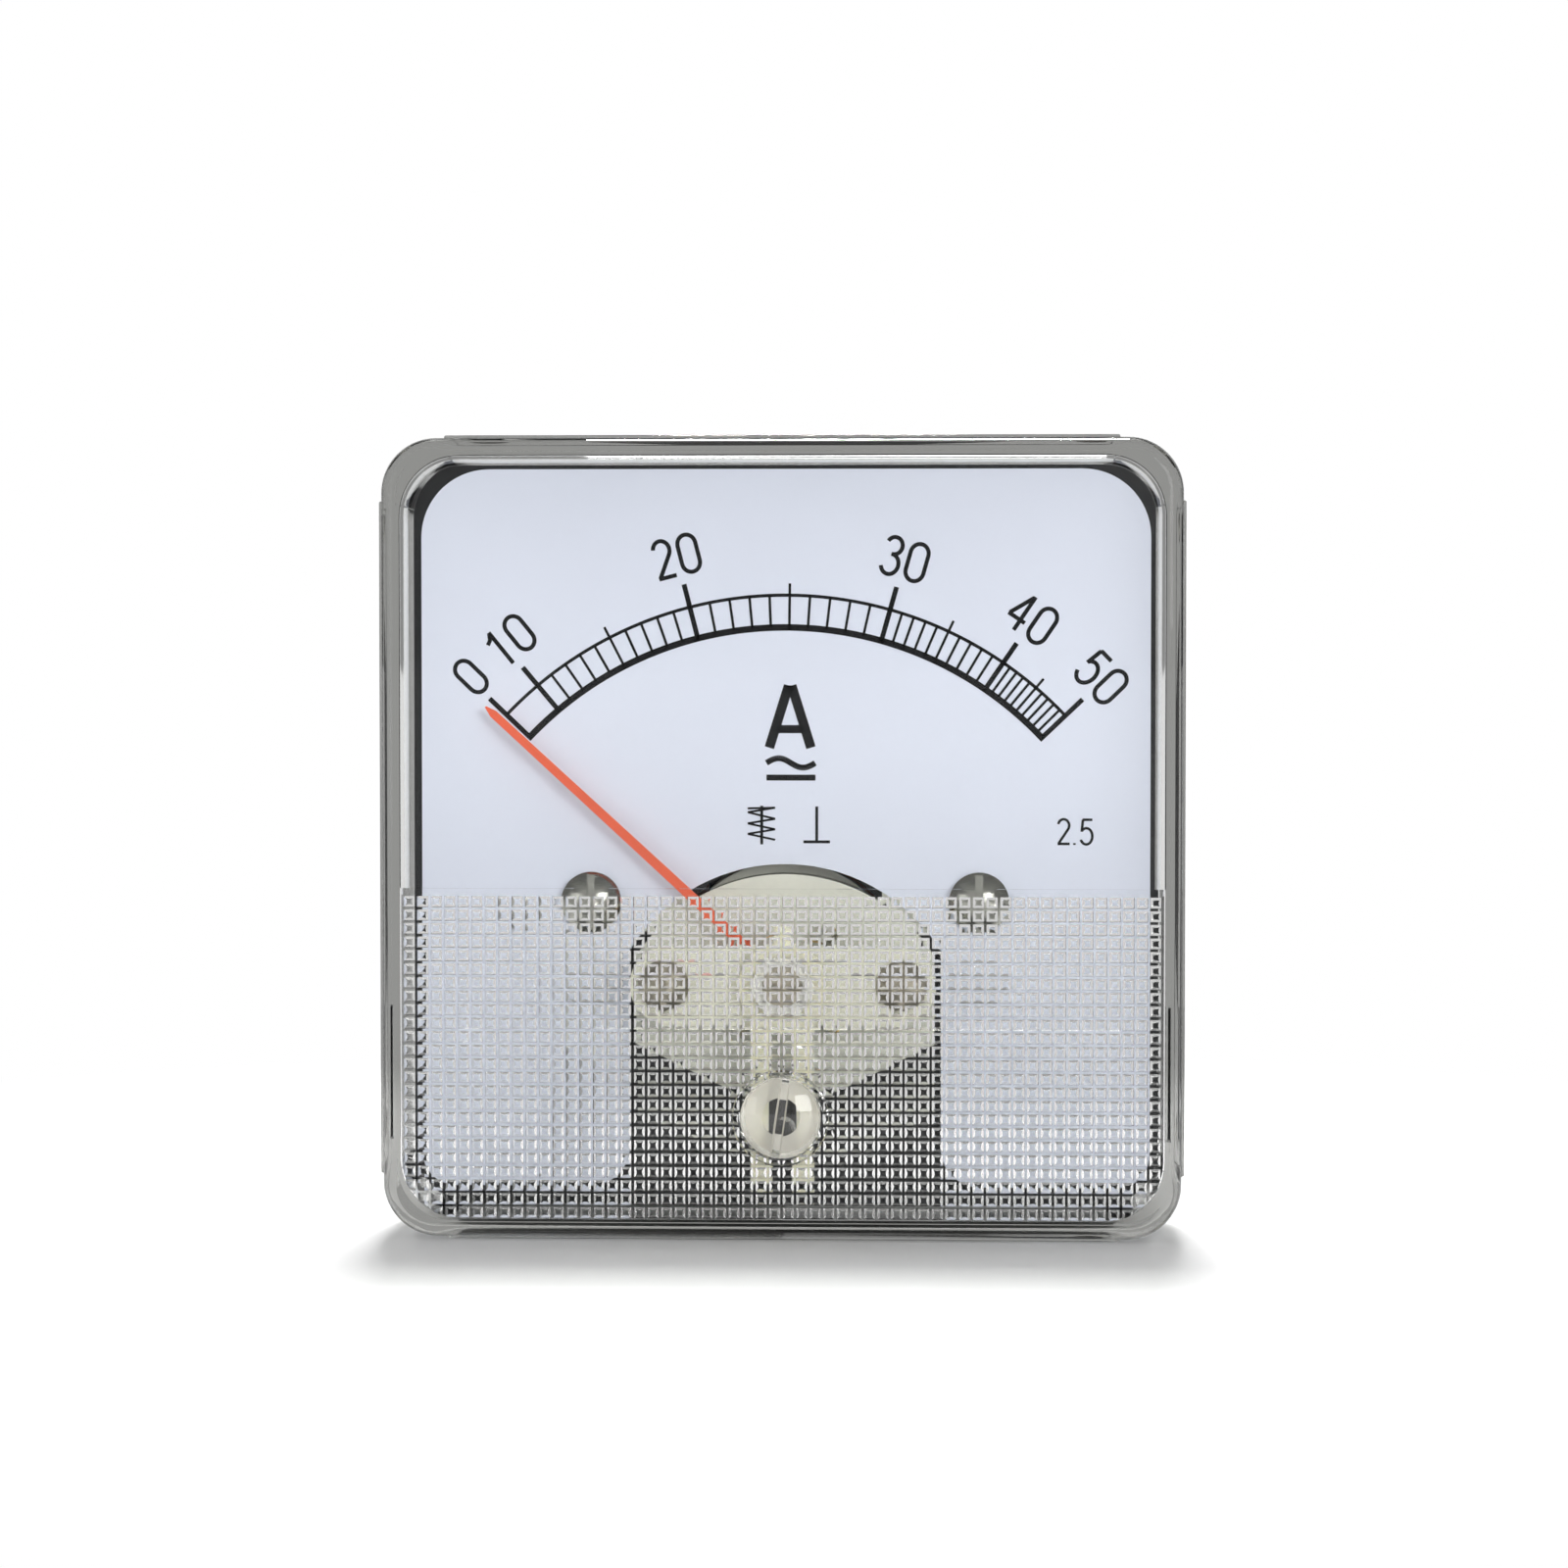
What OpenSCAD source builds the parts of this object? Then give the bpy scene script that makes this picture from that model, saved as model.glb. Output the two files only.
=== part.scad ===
// Square moving-iron panel meter, 60 mm class, with a clear moulded cover.
// The front faces -Y and +Z is up. The origin is the centre of the panel seat (y = 0):
// cover, dial and pointer lie in front of it, the round barrel and the terminals behind.

/* [Cover] */
// Width and height of the square front
front_w = 60; // [58:0.5:70]
// Depth of the cover, from the panel seat to its front face
cover_depth = 14; // [13.4:0.1:17]
// Thickness of the cover's side walls
cover_wall = 1.4; // [1.2:0.1:2.2]
// Thickness of the cover's front
cover_front = 1.8; // [1.4:0.1:2.2]
// Corner radius of the cover outside
corner_r = 4.1; // [3:0.1:6]
// Corner radius of the cover inside
inner_corner_r = 4.6; // [3.6:0.1:6]
// Rounding of the front edge
front_edge_r = 1.2; // [0.5:0.1:1.6]
// Rounding between the cover's front and its walls inside
inner_front_r = 1; // [0.6:0.2:4]
// How far the four flat side lands stand out from the corners
land_h = 0.2; // [0.1:0.05:0.4]
// Length of a side land
land_l = 50.2; // [40:0.2:52]
// Height of the top edge of the textured window
window_top_z = -3.9; // [-8:0.1:0]
// Thickness that the textured window adds inside
window_pad = 0.4; // [0.2:0.05:0.6]

/* [Zero adjuster] */
// Height of the adjuster's axis
adjuster_z = -20.7; // [-21.5:0.1:-20]
// Diameter of the slotted head
adjuster_head_d = 6; // [4.6:0.1:7]
// Width of the collar round the head
adjuster_collar_w = 0.45; // [0.3:0.05:1]
// Diameter of the adjuster's shank
adjuster_shank_d = 2.6; // [2.2:0.1:3.2]
// Diameter of the eccentric pin
pin_d = 1.2; // [0.8:0.1:1.5]
// Offset of the eccentric pin from the adjuster's axis
pin_offset = 1; // [0.8:0.05:1.1]

/* [Base housing] */
// Diameter of the barrel behind the panel
barrel_d = 50; // [48:0.5:52]
// Length of the barrel behind the panel
barrel_l = 28; // [28:0.5:36]
// Wall of the barrel
barrel_wall = 2; // [1.4:0.1:2.4]
// Thickness of the barrel's rear wall
rear_wall = 2.5; // [2:0.1:3]
// Thickness of the base plate inside the cover
plate_t = 2.9; // [2.6:0.1:3.2]

/* [Dial] */
// Thickness of the dial plate
dial_t = 0.5; // [0.3:0.1:0.8]
// Radius of the dial's two top corners
dial_corner_r = 5.2; // [4.4:0.1:7]
// Gap between the dial's edge and the cover's walls
dial_gap = 0.8; // [0.3:0.1:1.2]
// Half width of the opening in the dial
opening_half_w = 11.9; // [11.5:0.1:12.4]
// Radius of the arch over the opening
arch_r = 14; // [13.5:0.1:16]
// Height of the arch above the pivot
arch_h = 8.9; // [8.7:0.1:9.6]
// Distance of each dial screw from the middle
dial_screw_x = 14.8; // [14.6:0.1:17]
// Height of the dial screws above the pivot
dial_screw_h = 6; // [5:0.1:6.5]
// Diameter of a dial screw's domed head
dial_screw_head_d = 4.6; // [3.6:0.1:5]

/* [Movement] */
// Height of the pointer's axis
axis_z = -11.2; // [-11.5:0.1:-11]
// Distance of each bridge screw from the pointer's axis
bridge_screw_x = 8.95; // [8.9:0.05:9.1]
// Height of the front bridge bar
bridge_w = 6; // [5:0.1:6.4]
// Thickness of the front bridge bar
bridge_t = 1.2; // [1:0.1:1.4]
// Distance from the dial's front to the pointer
pointer_gap = 1.3; // [1.2:0.05:1.4]
// Length of the pointer from its axis to its tip
pointer_l = 30.9; // [20:0.1:32]
// Width of the pointer at its tip
pointer_tip_w = 0.6; // [0.4:0.05:0.8]
// Angle of the resting pointer from the vertical
pointer_rest = -47.4; // [-50:0.2:-40]
// Diameter of the staff
staff_d = 0.8; // [0.6:0.05:1]
// Turns of the hairspring
hairspring_turns = 4; // [2:1:6]
// Gap between the zero lever's end and the cover's lower wall
lever_end_gap = 2.5; // [2.3:0.1:4]
// Width of the zero lever's arm
lever_w = 4.8; // [3.6:0.1:5.4]
// Thickness of the zero lever
lever_t = 0.7; // [0.5:0.05:0.8]

/* [Coil] */
// Bore of the coil former
former_bore_d = 10; // [9.4:0.1:10.4]
// Wall of the coil former
former_wall = 1; // [0.8:0.1:1.2]
// Diameter of the copper winding wire
wire_d = 2.6; // [1.6:0.1:2.7]
// Full turns of the winding, to which half a turn is added
coil_turns = 4; // [3:1:4]
// Pitch of the winding
coil_pitch = 2.8; // [2.75:0.05:2.9]

/* [Fixings] */
// Distance of the mounting studs from the edges of the front
stud_inset = 6; // [5.5:0.25:6.5]
// Thread diameter of the mounting studs
stud_d = 3; // [2.5:0.5:4]
// Length of the mounting studs behind the panel seat
stud_l = 12; // [8:0.5:16]
// Distance of each terminal from the middle
terminal_x = 11; // [10.8:0.1:12]
// Height of the terminals
terminal_z = 8; // [7.5:0.1:9]
// Thread diameter of the terminals
terminal_d = 4; // [3.5:0.1:4.5]
// Free end of a terminal stud beyond its nut
terminal_free_l = 4; // [2:0.5:8]

/* [Hidden] */
$fn = 64;

// Clearances
seat_gap = 0.15;      // cover to base, all round
running_gap = 0.05;   // shafts that turn, on the radius
screw_gap = 0.02;     // threads and pressed pins, on the radius
fork_gap = 0.15;      // eccentric pin to fork, each side
free_gap = 0.3;       // parts that must stay clear
eps = 0.01;           // cuts run this far past a face

// Cover
front_y = -cover_depth;
body_half = front_w / 2 - land_h;
inner_half = front_w / 2 - cover_wall;
inner_front_y = front_y + cover_front;
inner_edge_r = min(inner_front_r, inner_corner_r - 0.1);
collar_h = 0.5;
collar_r = adjuster_head_d / 2 + seat_gap + adjuster_collar_w;
counterbore_r = adjuster_head_d / 2 + seat_gap;
counterbore_y = front_y + cover_front / 2;
boss_back_y = inner_front_y + 0.8;
boss_r = 2.6;

// Base plate and the latches that hold the cover
plate_half = inner_half - seat_gap;
plate_corner_r = inner_corner_r - seat_gap;
ledge_w = 1.4;
latch_l = 10;
latch_z = latch_l / 2 - plate_half + plate_corner_r + 0.8;
latch_h = 0.4;
latch_front_y = -2.2;
latch_back_y = -0.9;
barrel_r = barrel_d / 2;
barrel_bore_r = barrel_r - barrel_wall;
rear_inner_y = barrel_l - rear_wall;
rear_edge_r = 0.8;

// Levels between the base plate and the cover
frame_t = 1.2;
frame_back_y = -plate_t;
frame_y = frame_back_y - frame_t;
dial_y = frame_y - dial_t;
pointer_t = 0.3;
pointer_y = dial_y - pointer_gap - pointer_t;
spring_h = 0.4;
spring_y = pointer_y - 0.7 - spring_h;
bridge_back_y = spring_y - 0.5;
bridge_y = bridge_back_y - bridge_t;
lever_y = bridge_y - 0.2 - lever_t;
bearing_front_y = lever_y - 0.6;
bearing_back_y = spring_y - 0.2;

// Movement frame, damping chamber and dial
frame_inset = 0.5;
arch_drop = 0.3;
chin_side = 4.9;
chin_half_w = 4;
chin_drop = 8.5;
chamber_r = 7.6;
chamber_half_angle = 65;
chamber_floor_y = frame_back_y + 0.6;
chamber_back_y = chamber_floor_y + 0.6;
damping_cover_t = 0.4;
vane_r = 7.2;
vane_half_angle = 8;
vane_t = 0.3;
vane_y = (frame_y + chamber_floor_y) / 2 - vane_t / 2;
post_r = 2.5;
dial_screw_z = axis_z + dial_screw_h;
dial_half = inner_half - dial_gap;
dial_bottom_z = -dial_half + 0.8;
dial_top_r = max(dial_corner_r, inner_corner_r - dial_gap);
dial_bottom_r = 2.5;
flare_r = 3;

// Small screws
screw_r = 0.95;
screw_head_r = 1.9;
screw_head_h = 1.2;
screw_slot_w = 0.5;
screw_hold = 1.6;

// Bearings and staff
bearing_r = 1.5;
jewel_r = 0.75;
jewel_l = 0.8;
jewel_cone_r = 0.5;
jewel_cone_l = 0.55;
pivot_play = 0.03;
staff_r = staff_d / 2;
staff_tip_l = 0.7;
staff_front_y = bearing_back_y - jewel_cone_l + pivot_play;
hub_r = 1.6;
hub_l = 0.6;
spigot_r = 0.75;
arm_r = 0.25;
arm_l = 5.6;
weight_r = 0.75;
weight_l = 1.2;
arm_y = pointer_y + pointer_t + 0.3;
collet_r = 1.1;
lever_ring_r = 3.3;
lever_tab_r = 3.85;
lever_tab_t = 0.6;
lever_l = inner_half + axis_z - lever_end_gap;
fork_from = lever_ring_r + 0.3;

// Coil former and coil
flange_t = 1.5;
former_r = former_bore_d / 2 + former_wall;
wire_r = wire_d / 2;
coil_r = former_r + seat_gap + wire_r;
flange_r = coil_r + wire_r + 0.2;
opening_r = flange_r + 0.4;
former_y = chamber_back_y;
coil_start_y = former_y + flange_t + free_gap + wire_r + 0.3;
coil_end_y = coil_start_y + (coil_turns + 0.5) * coil_pitch;
rear_flange_y = coil_end_y + wire_r + free_gap;
former_end_y = rear_flange_y + 1.6;
lead_z = -1;
peg_r = 0.9;
peg_x = 6;
peg_h = 3.5;

// Rear bridge
rear_bridge_t = 1.5;
rear_bridge_w = 5;
rear_screw_x = former_r + 1;
rear_screw_r = 0.7;
rear_screw_hold = 1.2;
rear_bridge_x = rear_screw_x + 1.6;
rear_bridge_end_y = former_end_y + rear_bridge_t;
rear_bearing_y = former_end_y + 0.3;
staff_rear_y = rear_bearing_y + jewel_cone_l - pivot_play;
rear_bearing_l = 3.9;

// Fixed and moving iron
iron_t = 0.4;
iron_y = coil_start_y;
iron_l = coil_end_y - coil_start_y - 1;
fixed_iron_r = former_bore_d / 2 - screw_gap;
moving_iron_r = fixed_iron_r - iron_t - 0.5;
iron_rest = 120;
iron_half_angle = 18;
fixed_iron_span = 125;

// Lead straps and terminals
strap_t = 1;
strap_w = 8.6;
strap_bend_r = 1.5;
lead_gap = 1.2;
terminal_r = terminal_d / 2;
thread_depth = 0.3;
terminal_core_r = terminal_r - thread_depth;
terminal_flats = 7;
head_t = 3;
boss_h = 1;
terminal_boss_r = 5;
fixing_nut_t = 2.4;
washer_t = 0.8;
washer_w = 2.35;
washer_gap = 0.15;
spring_washer_t = 1;
spring_washer_w = 1.25;
spring_washer_split = 0.6;
nut_t = 3.2;
fixing_nut_y = barrel_l + boss_h;
washer_y = fixing_nut_y + fixing_nut_t;
spring_washer_y = washer_y + washer_t;
nut_y = spring_washer_y + spring_washer_t;
free_end_y = nut_y + nut_t;
lead_opening_x = terminal_x + strap_w / 2 + 0.2;
lead_opening_top_z = terminal_z + strap_w / 2 + lead_gap;
lead_opening_low_z = lead_z - lead_gap;

// Mounting studs
stud_spacing = front_w - 2 * stud_inset;
stud_r = stud_d / 2;
stud_root_r = stud_r + 0.7;
stud_root_l = plate_t - 0.5;

// Colours
clear_plastic = [0.9, 0.95, 0.98, 0.35];
black_plastic = [0.07, 0.07, 0.08];
cream_plastic = [0.80, 0.80, 0.72];
yellow_plastic = [0.93, 0.90, 0.62];
dial_white = [0.90, 0.93, 0.97];
pointer_orange = [0.90, 0.36, 0.22];
nickel = [0.78, 0.78, 0.76];
brass = [0.78, 0.65, 0.36];
copper = [0.75, 0.45, 0.30];
soft_iron = [0.45, 0.46, 0.48];
ruby = [0.75, 0.15, 0.25];

// ---------- helpers ----------

// A 2-D shape in x and z, made t thick, with its front at y
module slab(y, t) {
    translate([0, y + t, 0]) rotate([90, 0, 0]) linear_extrude(t) children();
}

// A round bar along y, with its front end at y
module bar(x, z, y, l, r) {
    translate([x, y + l, z]) rotate([90, 0, 0]) cylinder(h = l, r = r);
}

// A turned piece about an axis along y: its section is drawn as (radius, y)
module turned(x, z) {
    translate([x, 0, z]) rotate([-90, 0, 0]) rotate_extrude() children();
}

// Rectangle with round corners, low_r at the bottom and top_r at the top
module rounded_rect(half_w, low_z, high_z, low_r, top_r) {
    translate([-half_w, low_z + low_r]) square([2 * half_w, high_z - low_z - low_r - top_r]);
    translate([-half_w + low_r, low_z]) square([2 * (half_w - low_r), low_r]);
    translate([-half_w + top_r, high_z - top_r]) square([2 * (half_w - top_r), top_r]);
    for (s = [-1, 1]) {
        translate([s * (half_w - low_r), low_z + low_r]) circle(low_r);
        translate([s * (half_w - top_r), high_z - top_r]) circle(top_r);
    }
}

module rounded_square(half_w, r) {
    rounded_rect(half_w, -half_w, half_w, r, r);
}

// Section through the edge of a block: x outwards, y backwards, front edge rounded
module edge_section(r, edge_r, depth) {
    square([r - edge_r, depth]);
    translate([0, edge_r]) square([r, depth - edge_r]);
    translate([r - edge_r, edge_r]) intersection() {
        circle(edge_r);
        translate([0, -edge_r]) square(edge_r);
    }
}

// Square block with round corners, and a round edge all along its front
module soft_block(half_w, r, edge_r, y, depth) {
    mid = half_w - r;
    translate([-mid, y, -mid]) cube([2 * mid, depth, 2 * mid]);
    for (turn = [0:90:270]) rotate([0, turn, 0]) {
        translate([mid, y, -mid]) linear_extrude(2 * mid) edge_section(r, edge_r, depth);
        translate([mid, y, -mid]) rotate([-90, 0, 0])
            rotate_extrude(angle = 90) edge_section(r, edge_r, depth);
    }
}

// Wedge of a circle round the origin, centred on an angle from straight up, clockwise
module sector(r, middle, half_angle) {
    steps = 6;
    reach = 1.5 * r;
    intersection() {
        circle(r);
        polygon(concat([[0, 0]], [for (i = [0:steps])
            let (a = middle - half_angle + 2 * half_angle * i / steps)
            [reach * sin(a), reach * cos(a)]]));
    }
}

// Regular hexagon by the distance across its flats
module hexagon(flats) {
    circle(r = flats / sqrt(3), $fn = 6);
}

// Screw with a domed and slotted head that seats at y and points backwards
module domed_screw(x, z, y, head_r, head_h, shank_r, shank_l, slot_w) {
    rim = head_h / 3;
    dome = head_h - rim;
    dome_r = (head_r * head_r + dome * dome) / (2 * dome);
    difference() {
        union() {
            intersection() {
                bar(x, z, y - head_h, head_h, head_r);
                translate([x, y - head_h + dome_r, z]) sphere(dome_r);
            }
            bar(x, z, y - eps, shank_l + eps, shank_r);
        }
        translate([x - slot_w / 2, y - head_h - eps, z - head_r])
            cube([slot_w, head_h * 0.55, 2 * head_r]);
    }
}

// ---------- cover and adjuster ----------

module side_lands() {
    for (turn = [0:90:270]) rotate([0, turn, 0])
        translate([body_half - cover_wall / 2, front_y + front_edge_r, -land_l / 2])
            cube([land_h + cover_wall / 2, cover_depth - front_edge_r, land_l]);
}

module latch_block(grow) {
    for (side = [0, 1]) mirror([side, 0, 0])
        translate([plate_half - eps, latch_front_y - grow, latch_z - latch_l / 2 - grow])
            cube([latch_h + eps + grow, latch_back_y - latch_front_y + 2 * grow,
                latch_l + 2 * grow]);
}

module front_cover() {
    color(clear_plastic) difference() {
        union() {
            difference() {
                union() {
                    soft_block(body_half, corner_r, front_edge_r, front_y, cover_depth);
                    side_lands();
                }
                soft_block(inner_half, inner_corner_r, inner_edge_r,
                    inner_front_y, cover_depth);
            }
            // thicker lower window
            translate([-inner_half - eps, inner_front_y - eps, -inner_half - eps])
                cube([2 * (inner_half + eps), window_pad + eps,
                    window_top_z + inner_half + eps]);
            // collar round the adjuster's head, and its bearing boss inside
            bar(0, adjuster_z, front_y - collar_h, collar_h + eps, collar_r);
            bar(0, adjuster_z, inner_front_y - eps, boss_back_y - inner_front_y + eps, boss_r);
        }
        bar(0, adjuster_z, front_y - collar_h - eps,
            counterbore_y - front_y + collar_h + eps, counterbore_r);
        bar(0, adjuster_z, front_y, cover_depth, adjuster_shank_d / 2 + running_gap);
        latch_block(seat_gap);
    }
}

module zero_adjuster() {
    head_r = adjuster_head_d / 2;
    shank_r = adjuster_shank_d / 2;
    rim_y = front_y - 0.4;
    dome_h = 0.7;
    dome_r = (head_r * head_r + dome_h * dome_h) / (2 * dome_h);
    slot_w = 0.8;
    slot_tilt = 8;
    snap_y = boss_back_y + running_gap;
    snap_l = 0.5;
    pin_end_y = lever_y + lever_t + 0.2;
    color(clear_plastic) {
        difference() {
            union() {
                intersection() {
                    bar(0, adjuster_z, rim_y - dome_h,
                        counterbore_y - running_gap - rim_y + dome_h, head_r);
                    translate([0, rim_y - dome_h + dome_r, adjuster_z]) sphere(dome_r);
                }
                bar(0, adjuster_z, rim_y, snap_y + snap_l - rim_y, shank_r);
            }
            translate([0, 0, adjuster_z]) rotate([0, slot_tilt, 0])
                translate([-slot_w / 2, rim_y - dome_h - eps, -head_r - eps])
                    cube([slot_w, dome_h + 0.4, 2 * (head_r + eps)]);
        }
        // snap ring behind the boss
        bar(0, adjuster_z, snap_y, snap_l, shank_r + 0.45);
        // eccentric pin, below the axis at rest
        bar(0, adjuster_z - pin_offset, snap_y + snap_l - eps,
            pin_end_y - snap_y - snap_l + eps, pin_d / 2);
    }
}

// ---------- base housing and mounting studs ----------

module dial_ledge() {
    slab(frame_y, frame_t + eps) difference() {
        rounded_rect(plate_half, -plate_half, plate_half, plate_corner_r, plate_corner_r);
        rounded_rect(plate_half - ledge_w, -plate_half + ledge_w, plate_half - ledge_w,
            plate_corner_r - ledge_w, plate_corner_r - ledge_w);
    }
}

module barrel_shell() {
    turned(0, 0) difference() {
        union() {
            translate([0, -plate_t + eps]) square([barrel_r, barrel_l + plate_t - rear_edge_r]);
            square([barrel_r - rear_edge_r, barrel_l]);
            translate([barrel_r - rear_edge_r, barrel_l - rear_edge_r]) circle(rear_edge_r);
        }
        square([barrel_bore_r, rear_inner_y]);
    }
}

module base_housing() {
    stud_at = stud_spacing / 2;
    color(black_plastic) difference() {
        union() {
            slab(-plate_t, plate_t) rounded_square(plate_half, plate_corner_r);
            dial_ledge();
            barrel_shell();
            latch_block(0);
            for (s = [-1, 1])
                bar(s * terminal_x, terminal_z, barrel_l - eps, boss_h + eps, terminal_boss_r);
        }
        // way through the plate for the coil and its leads
        bar(0, axis_z, -plate_t - eps, plate_t + 2 * eps, opening_r);
        translate([-lead_opening_x, -plate_t - eps, lead_opening_low_z])
            cube([2 * lead_opening_x, plate_t + 2 * eps, lead_opening_top_z - lead_opening_low_z]);
        for (s = [-1, 1]) {
            bar(s * dial_screw_x, dial_screw_z, -plate_t - eps, 2, screw_r + screw_gap);
            bar(s * terminal_x, terminal_z, rear_inner_y - eps,
                rear_wall + boss_h + 2 * eps, terminal_r + running_gap);
        }
        for (sx = [-1, 1], sz = [-1, 1])
            bar(sx * stud_at, sz * stud_at, -stud_root_l, stud_root_l + eps, stud_root_r);
    }
}

// Steel stud: a knurled root moulded into the plate, and a threaded end with a bevel
module mounting_stud(sx, sz) {
    bevel = 0.4;
    color(nickel) turned(sx * stud_spacing / 2, sz * stud_spacing / 2) polygon([
        [0, -stud_root_l], [stud_root_r, -stud_root_l], [stud_root_r, 0], [stud_r, 0],
        [stud_r, stud_l - bevel], [stud_r - bevel, stud_l], [0, stud_l]]);
}

// ---------- dial ----------

// Arched opening of the dial, drawn smaller all round by inset, as tall as low_z asks
module arched_opening(inset, low_z) {
    half_w = opening_half_w - inset;
    intersection() {
        translate([0, axis_z + arch_h - arch_r]) union() {
            circle(arch_r - inset);
            translate([-half_w, low_z - axis_z - arch_h + arch_r])
                square([2 * half_w, axis_z + arch_h - arch_r - low_z]);
        }
        translate([-half_w, low_z]) square([2 * half_w, axis_z + arch_h - low_z]);
    }
}

module dial_plate() {
    color(dial_white) difference() {
        slab(dial_y, dial_t) difference() {
            rounded_rect(dial_half, dial_bottom_z, dial_half, dial_bottom_r, dial_top_r);
            arched_opening(0, dial_bottom_z - 1);
            // the opening flares at the dial's lower edge
            for (s = [-1, 1]) difference() {
                translate([s > 0 ? opening_half_w - eps : -opening_half_w - flare_r,
                    dial_bottom_z - eps]) square([flare_r + eps, flare_r + eps]);
                translate([s * (opening_half_w + flare_r), dial_bottom_z + flare_r])
                    circle(flare_r);
            }
        }
        for (s = [-1, 1])
            bar(s * dial_screw_x, dial_screw_z, dial_y - eps, dial_t + 2 * eps, screw_r + 0.2);
    }
}

module dial_screw(s) {
    color(nickel) domed_screw(s * dial_screw_x, dial_screw_z, dial_y,
        dial_screw_head_d / 2, 1.4, screw_r, dial_t + frame_t + screw_hold, 0.6);
}

// ---------- movement frame ----------

module frame_outline() {
    intersection() {
        arched_opening(frame_inset, axis_z - chin_drop);
        translate([0, -arch_drop]) arched_opening(frame_inset, axis_z - chin_drop);
        polygon([[-opening_half_w, 0], [opening_half_w, 0],
            [opening_half_w, axis_z - chin_side + 0.2],
            [chin_half_w, axis_z - chin_drop], [-chin_half_w, axis_z - chin_drop],
            [-opening_half_w, axis_z - chin_side + 0.2]]);
    }
}

// Ears of the frame that reach under the dial to its screws
module frame_ears() {
    ear_r = 2.3;
    for (s = [-1, 1]) {
        translate([s * dial_screw_x, dial_screw_z]) circle(ear_r);
        translate([s > 0 ? dial_screw_x / 2 : -dial_screw_x, dial_screw_z - ear_r])
            square([dial_screw_x / 2, 2 * ear_r]);
    }
}

module movement_frame() {
    color(cream_plastic) difference() {
        union() {
            slab(frame_y, frame_t) {
                frame_outline();
                frame_ears();
            }
            slab(frame_back_y - eps, chamber_back_y - frame_back_y + eps) intersection() {
                frame_outline();
                translate([0, axis_z]) circle(flange_r);
            }
            for (s = [-1, 1])
                bar(s * bridge_screw_x, axis_z, bridge_back_y, frame_y - bridge_back_y + eps,
                    post_r);
        }
        // damping chamber, open to the front
        slab(frame_y - eps, chamber_floor_y - frame_y + eps) translate([0, axis_z]) {
            sector(chamber_r, 180, chamber_half_angle);
            circle(hub_r + 0.8);
        }
        bar(0, axis_z, chamber_floor_y - eps, 1, hub_r);
        for (s = [-1, 1]) {
            bar(s * dial_screw_x, dial_screw_z, frame_y - eps, frame_t + 2 * eps, screw_r + 0.2);
            bar(s * bridge_screw_x, axis_z, bridge_back_y - eps,
                screw_hold + 1.2, screw_r + screw_gap);
            bar(s * peg_x, axis_z + peg_h, frame_back_y - eps,
                chamber_back_y - frame_back_y + 2 * eps, peg_r + screw_gap);
        }
    }
}

module damping_cover() {
    color(cream_plastic) slab(frame_y - damping_cover_t, damping_cover_t)
        intersection() {
            frame_outline();
            translate([0, axis_z]) difference() {
                union() {
                    sector(chamber_r + 3, 180, chamber_half_angle + 2);
                    circle(hub_r + 1.6);
                }
                circle(staff_r + 0.6);
            }
        }
}

module front_bridge() {
    color(cream_plastic) difference() {
        slab(bridge_y, bridge_t) {
            translate([-bridge_screw_x, axis_z - bridge_w / 2])
                square([2 * bridge_screw_x, bridge_w]);
            for (s = [-1, 1]) intersection() {
                translate([s * (bridge_screw_x - 0.4), axis_z]) circle(bridge_w / 2);
                translate([-front_w, axis_z - bridge_w / 2]) square([2 * front_w, bridge_w]);
            }
        }
        bar(0, axis_z, bridge_y - eps, bridge_t + 2 * eps, bearing_r + screw_gap);
        for (s = [-1, 1])
            bar(s * bridge_screw_x, axis_z, bridge_y - eps, bridge_t + 2 * eps, screw_r + 0.1);
    }
}

module bridge_screw(s) {
    color(nickel) domed_screw(s * bridge_screw_x, axis_z, bridge_y,
        screw_head_r, screw_head_h, screw_r, bridge_t + screw_hold, screw_slot_w);
}

// ---------- bearings ----------

// Threaded bearing screw with a slot in its outer end and a seat for the jewel in the other.
// dir is 1 where the jewel looks backwards and -1 where it looks forwards.
module bearing_screw(jewel_y, l, dir) {
    y0 = dir > 0 ? jewel_y - l : jewel_y;
    slot_y = dir > 0 ? y0 - eps : y0 + l - 0.6;
    seat_y = dir > 0 ? jewel_y - jewel_l : jewel_y - eps;
    color(brass) difference() {
        bar(0, axis_z, y0, l, bearing_r);
        bar(0, axis_z, seat_y, jewel_l + eps, jewel_r + screw_gap);
        translate([-bearing_r, slot_y, axis_z - screw_slot_w / 2])
            cube([2 * bearing_r, 0.6 + eps, screw_slot_w]);
    }
}

// Cup jewel with a conical seat that opens at face_y
module jewel(face_y, dir) {
    bottom_y = face_y - dir * jewel_cone_l;
    color(ruby) turned(0, axis_z) polygon([
        [0, bottom_y], [jewel_cone_r, face_y], [jewel_r, face_y],
        [jewel_r, face_y - dir * jewel_l], [0, face_y - dir * jewel_l]]);
}

module lock_nut(y, t) {
    color(nickel) slab(y, t) translate([0, axis_z]) difference() {
        hexagon(4.4);
        circle(bearing_r + screw_gap);
    }
}

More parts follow.
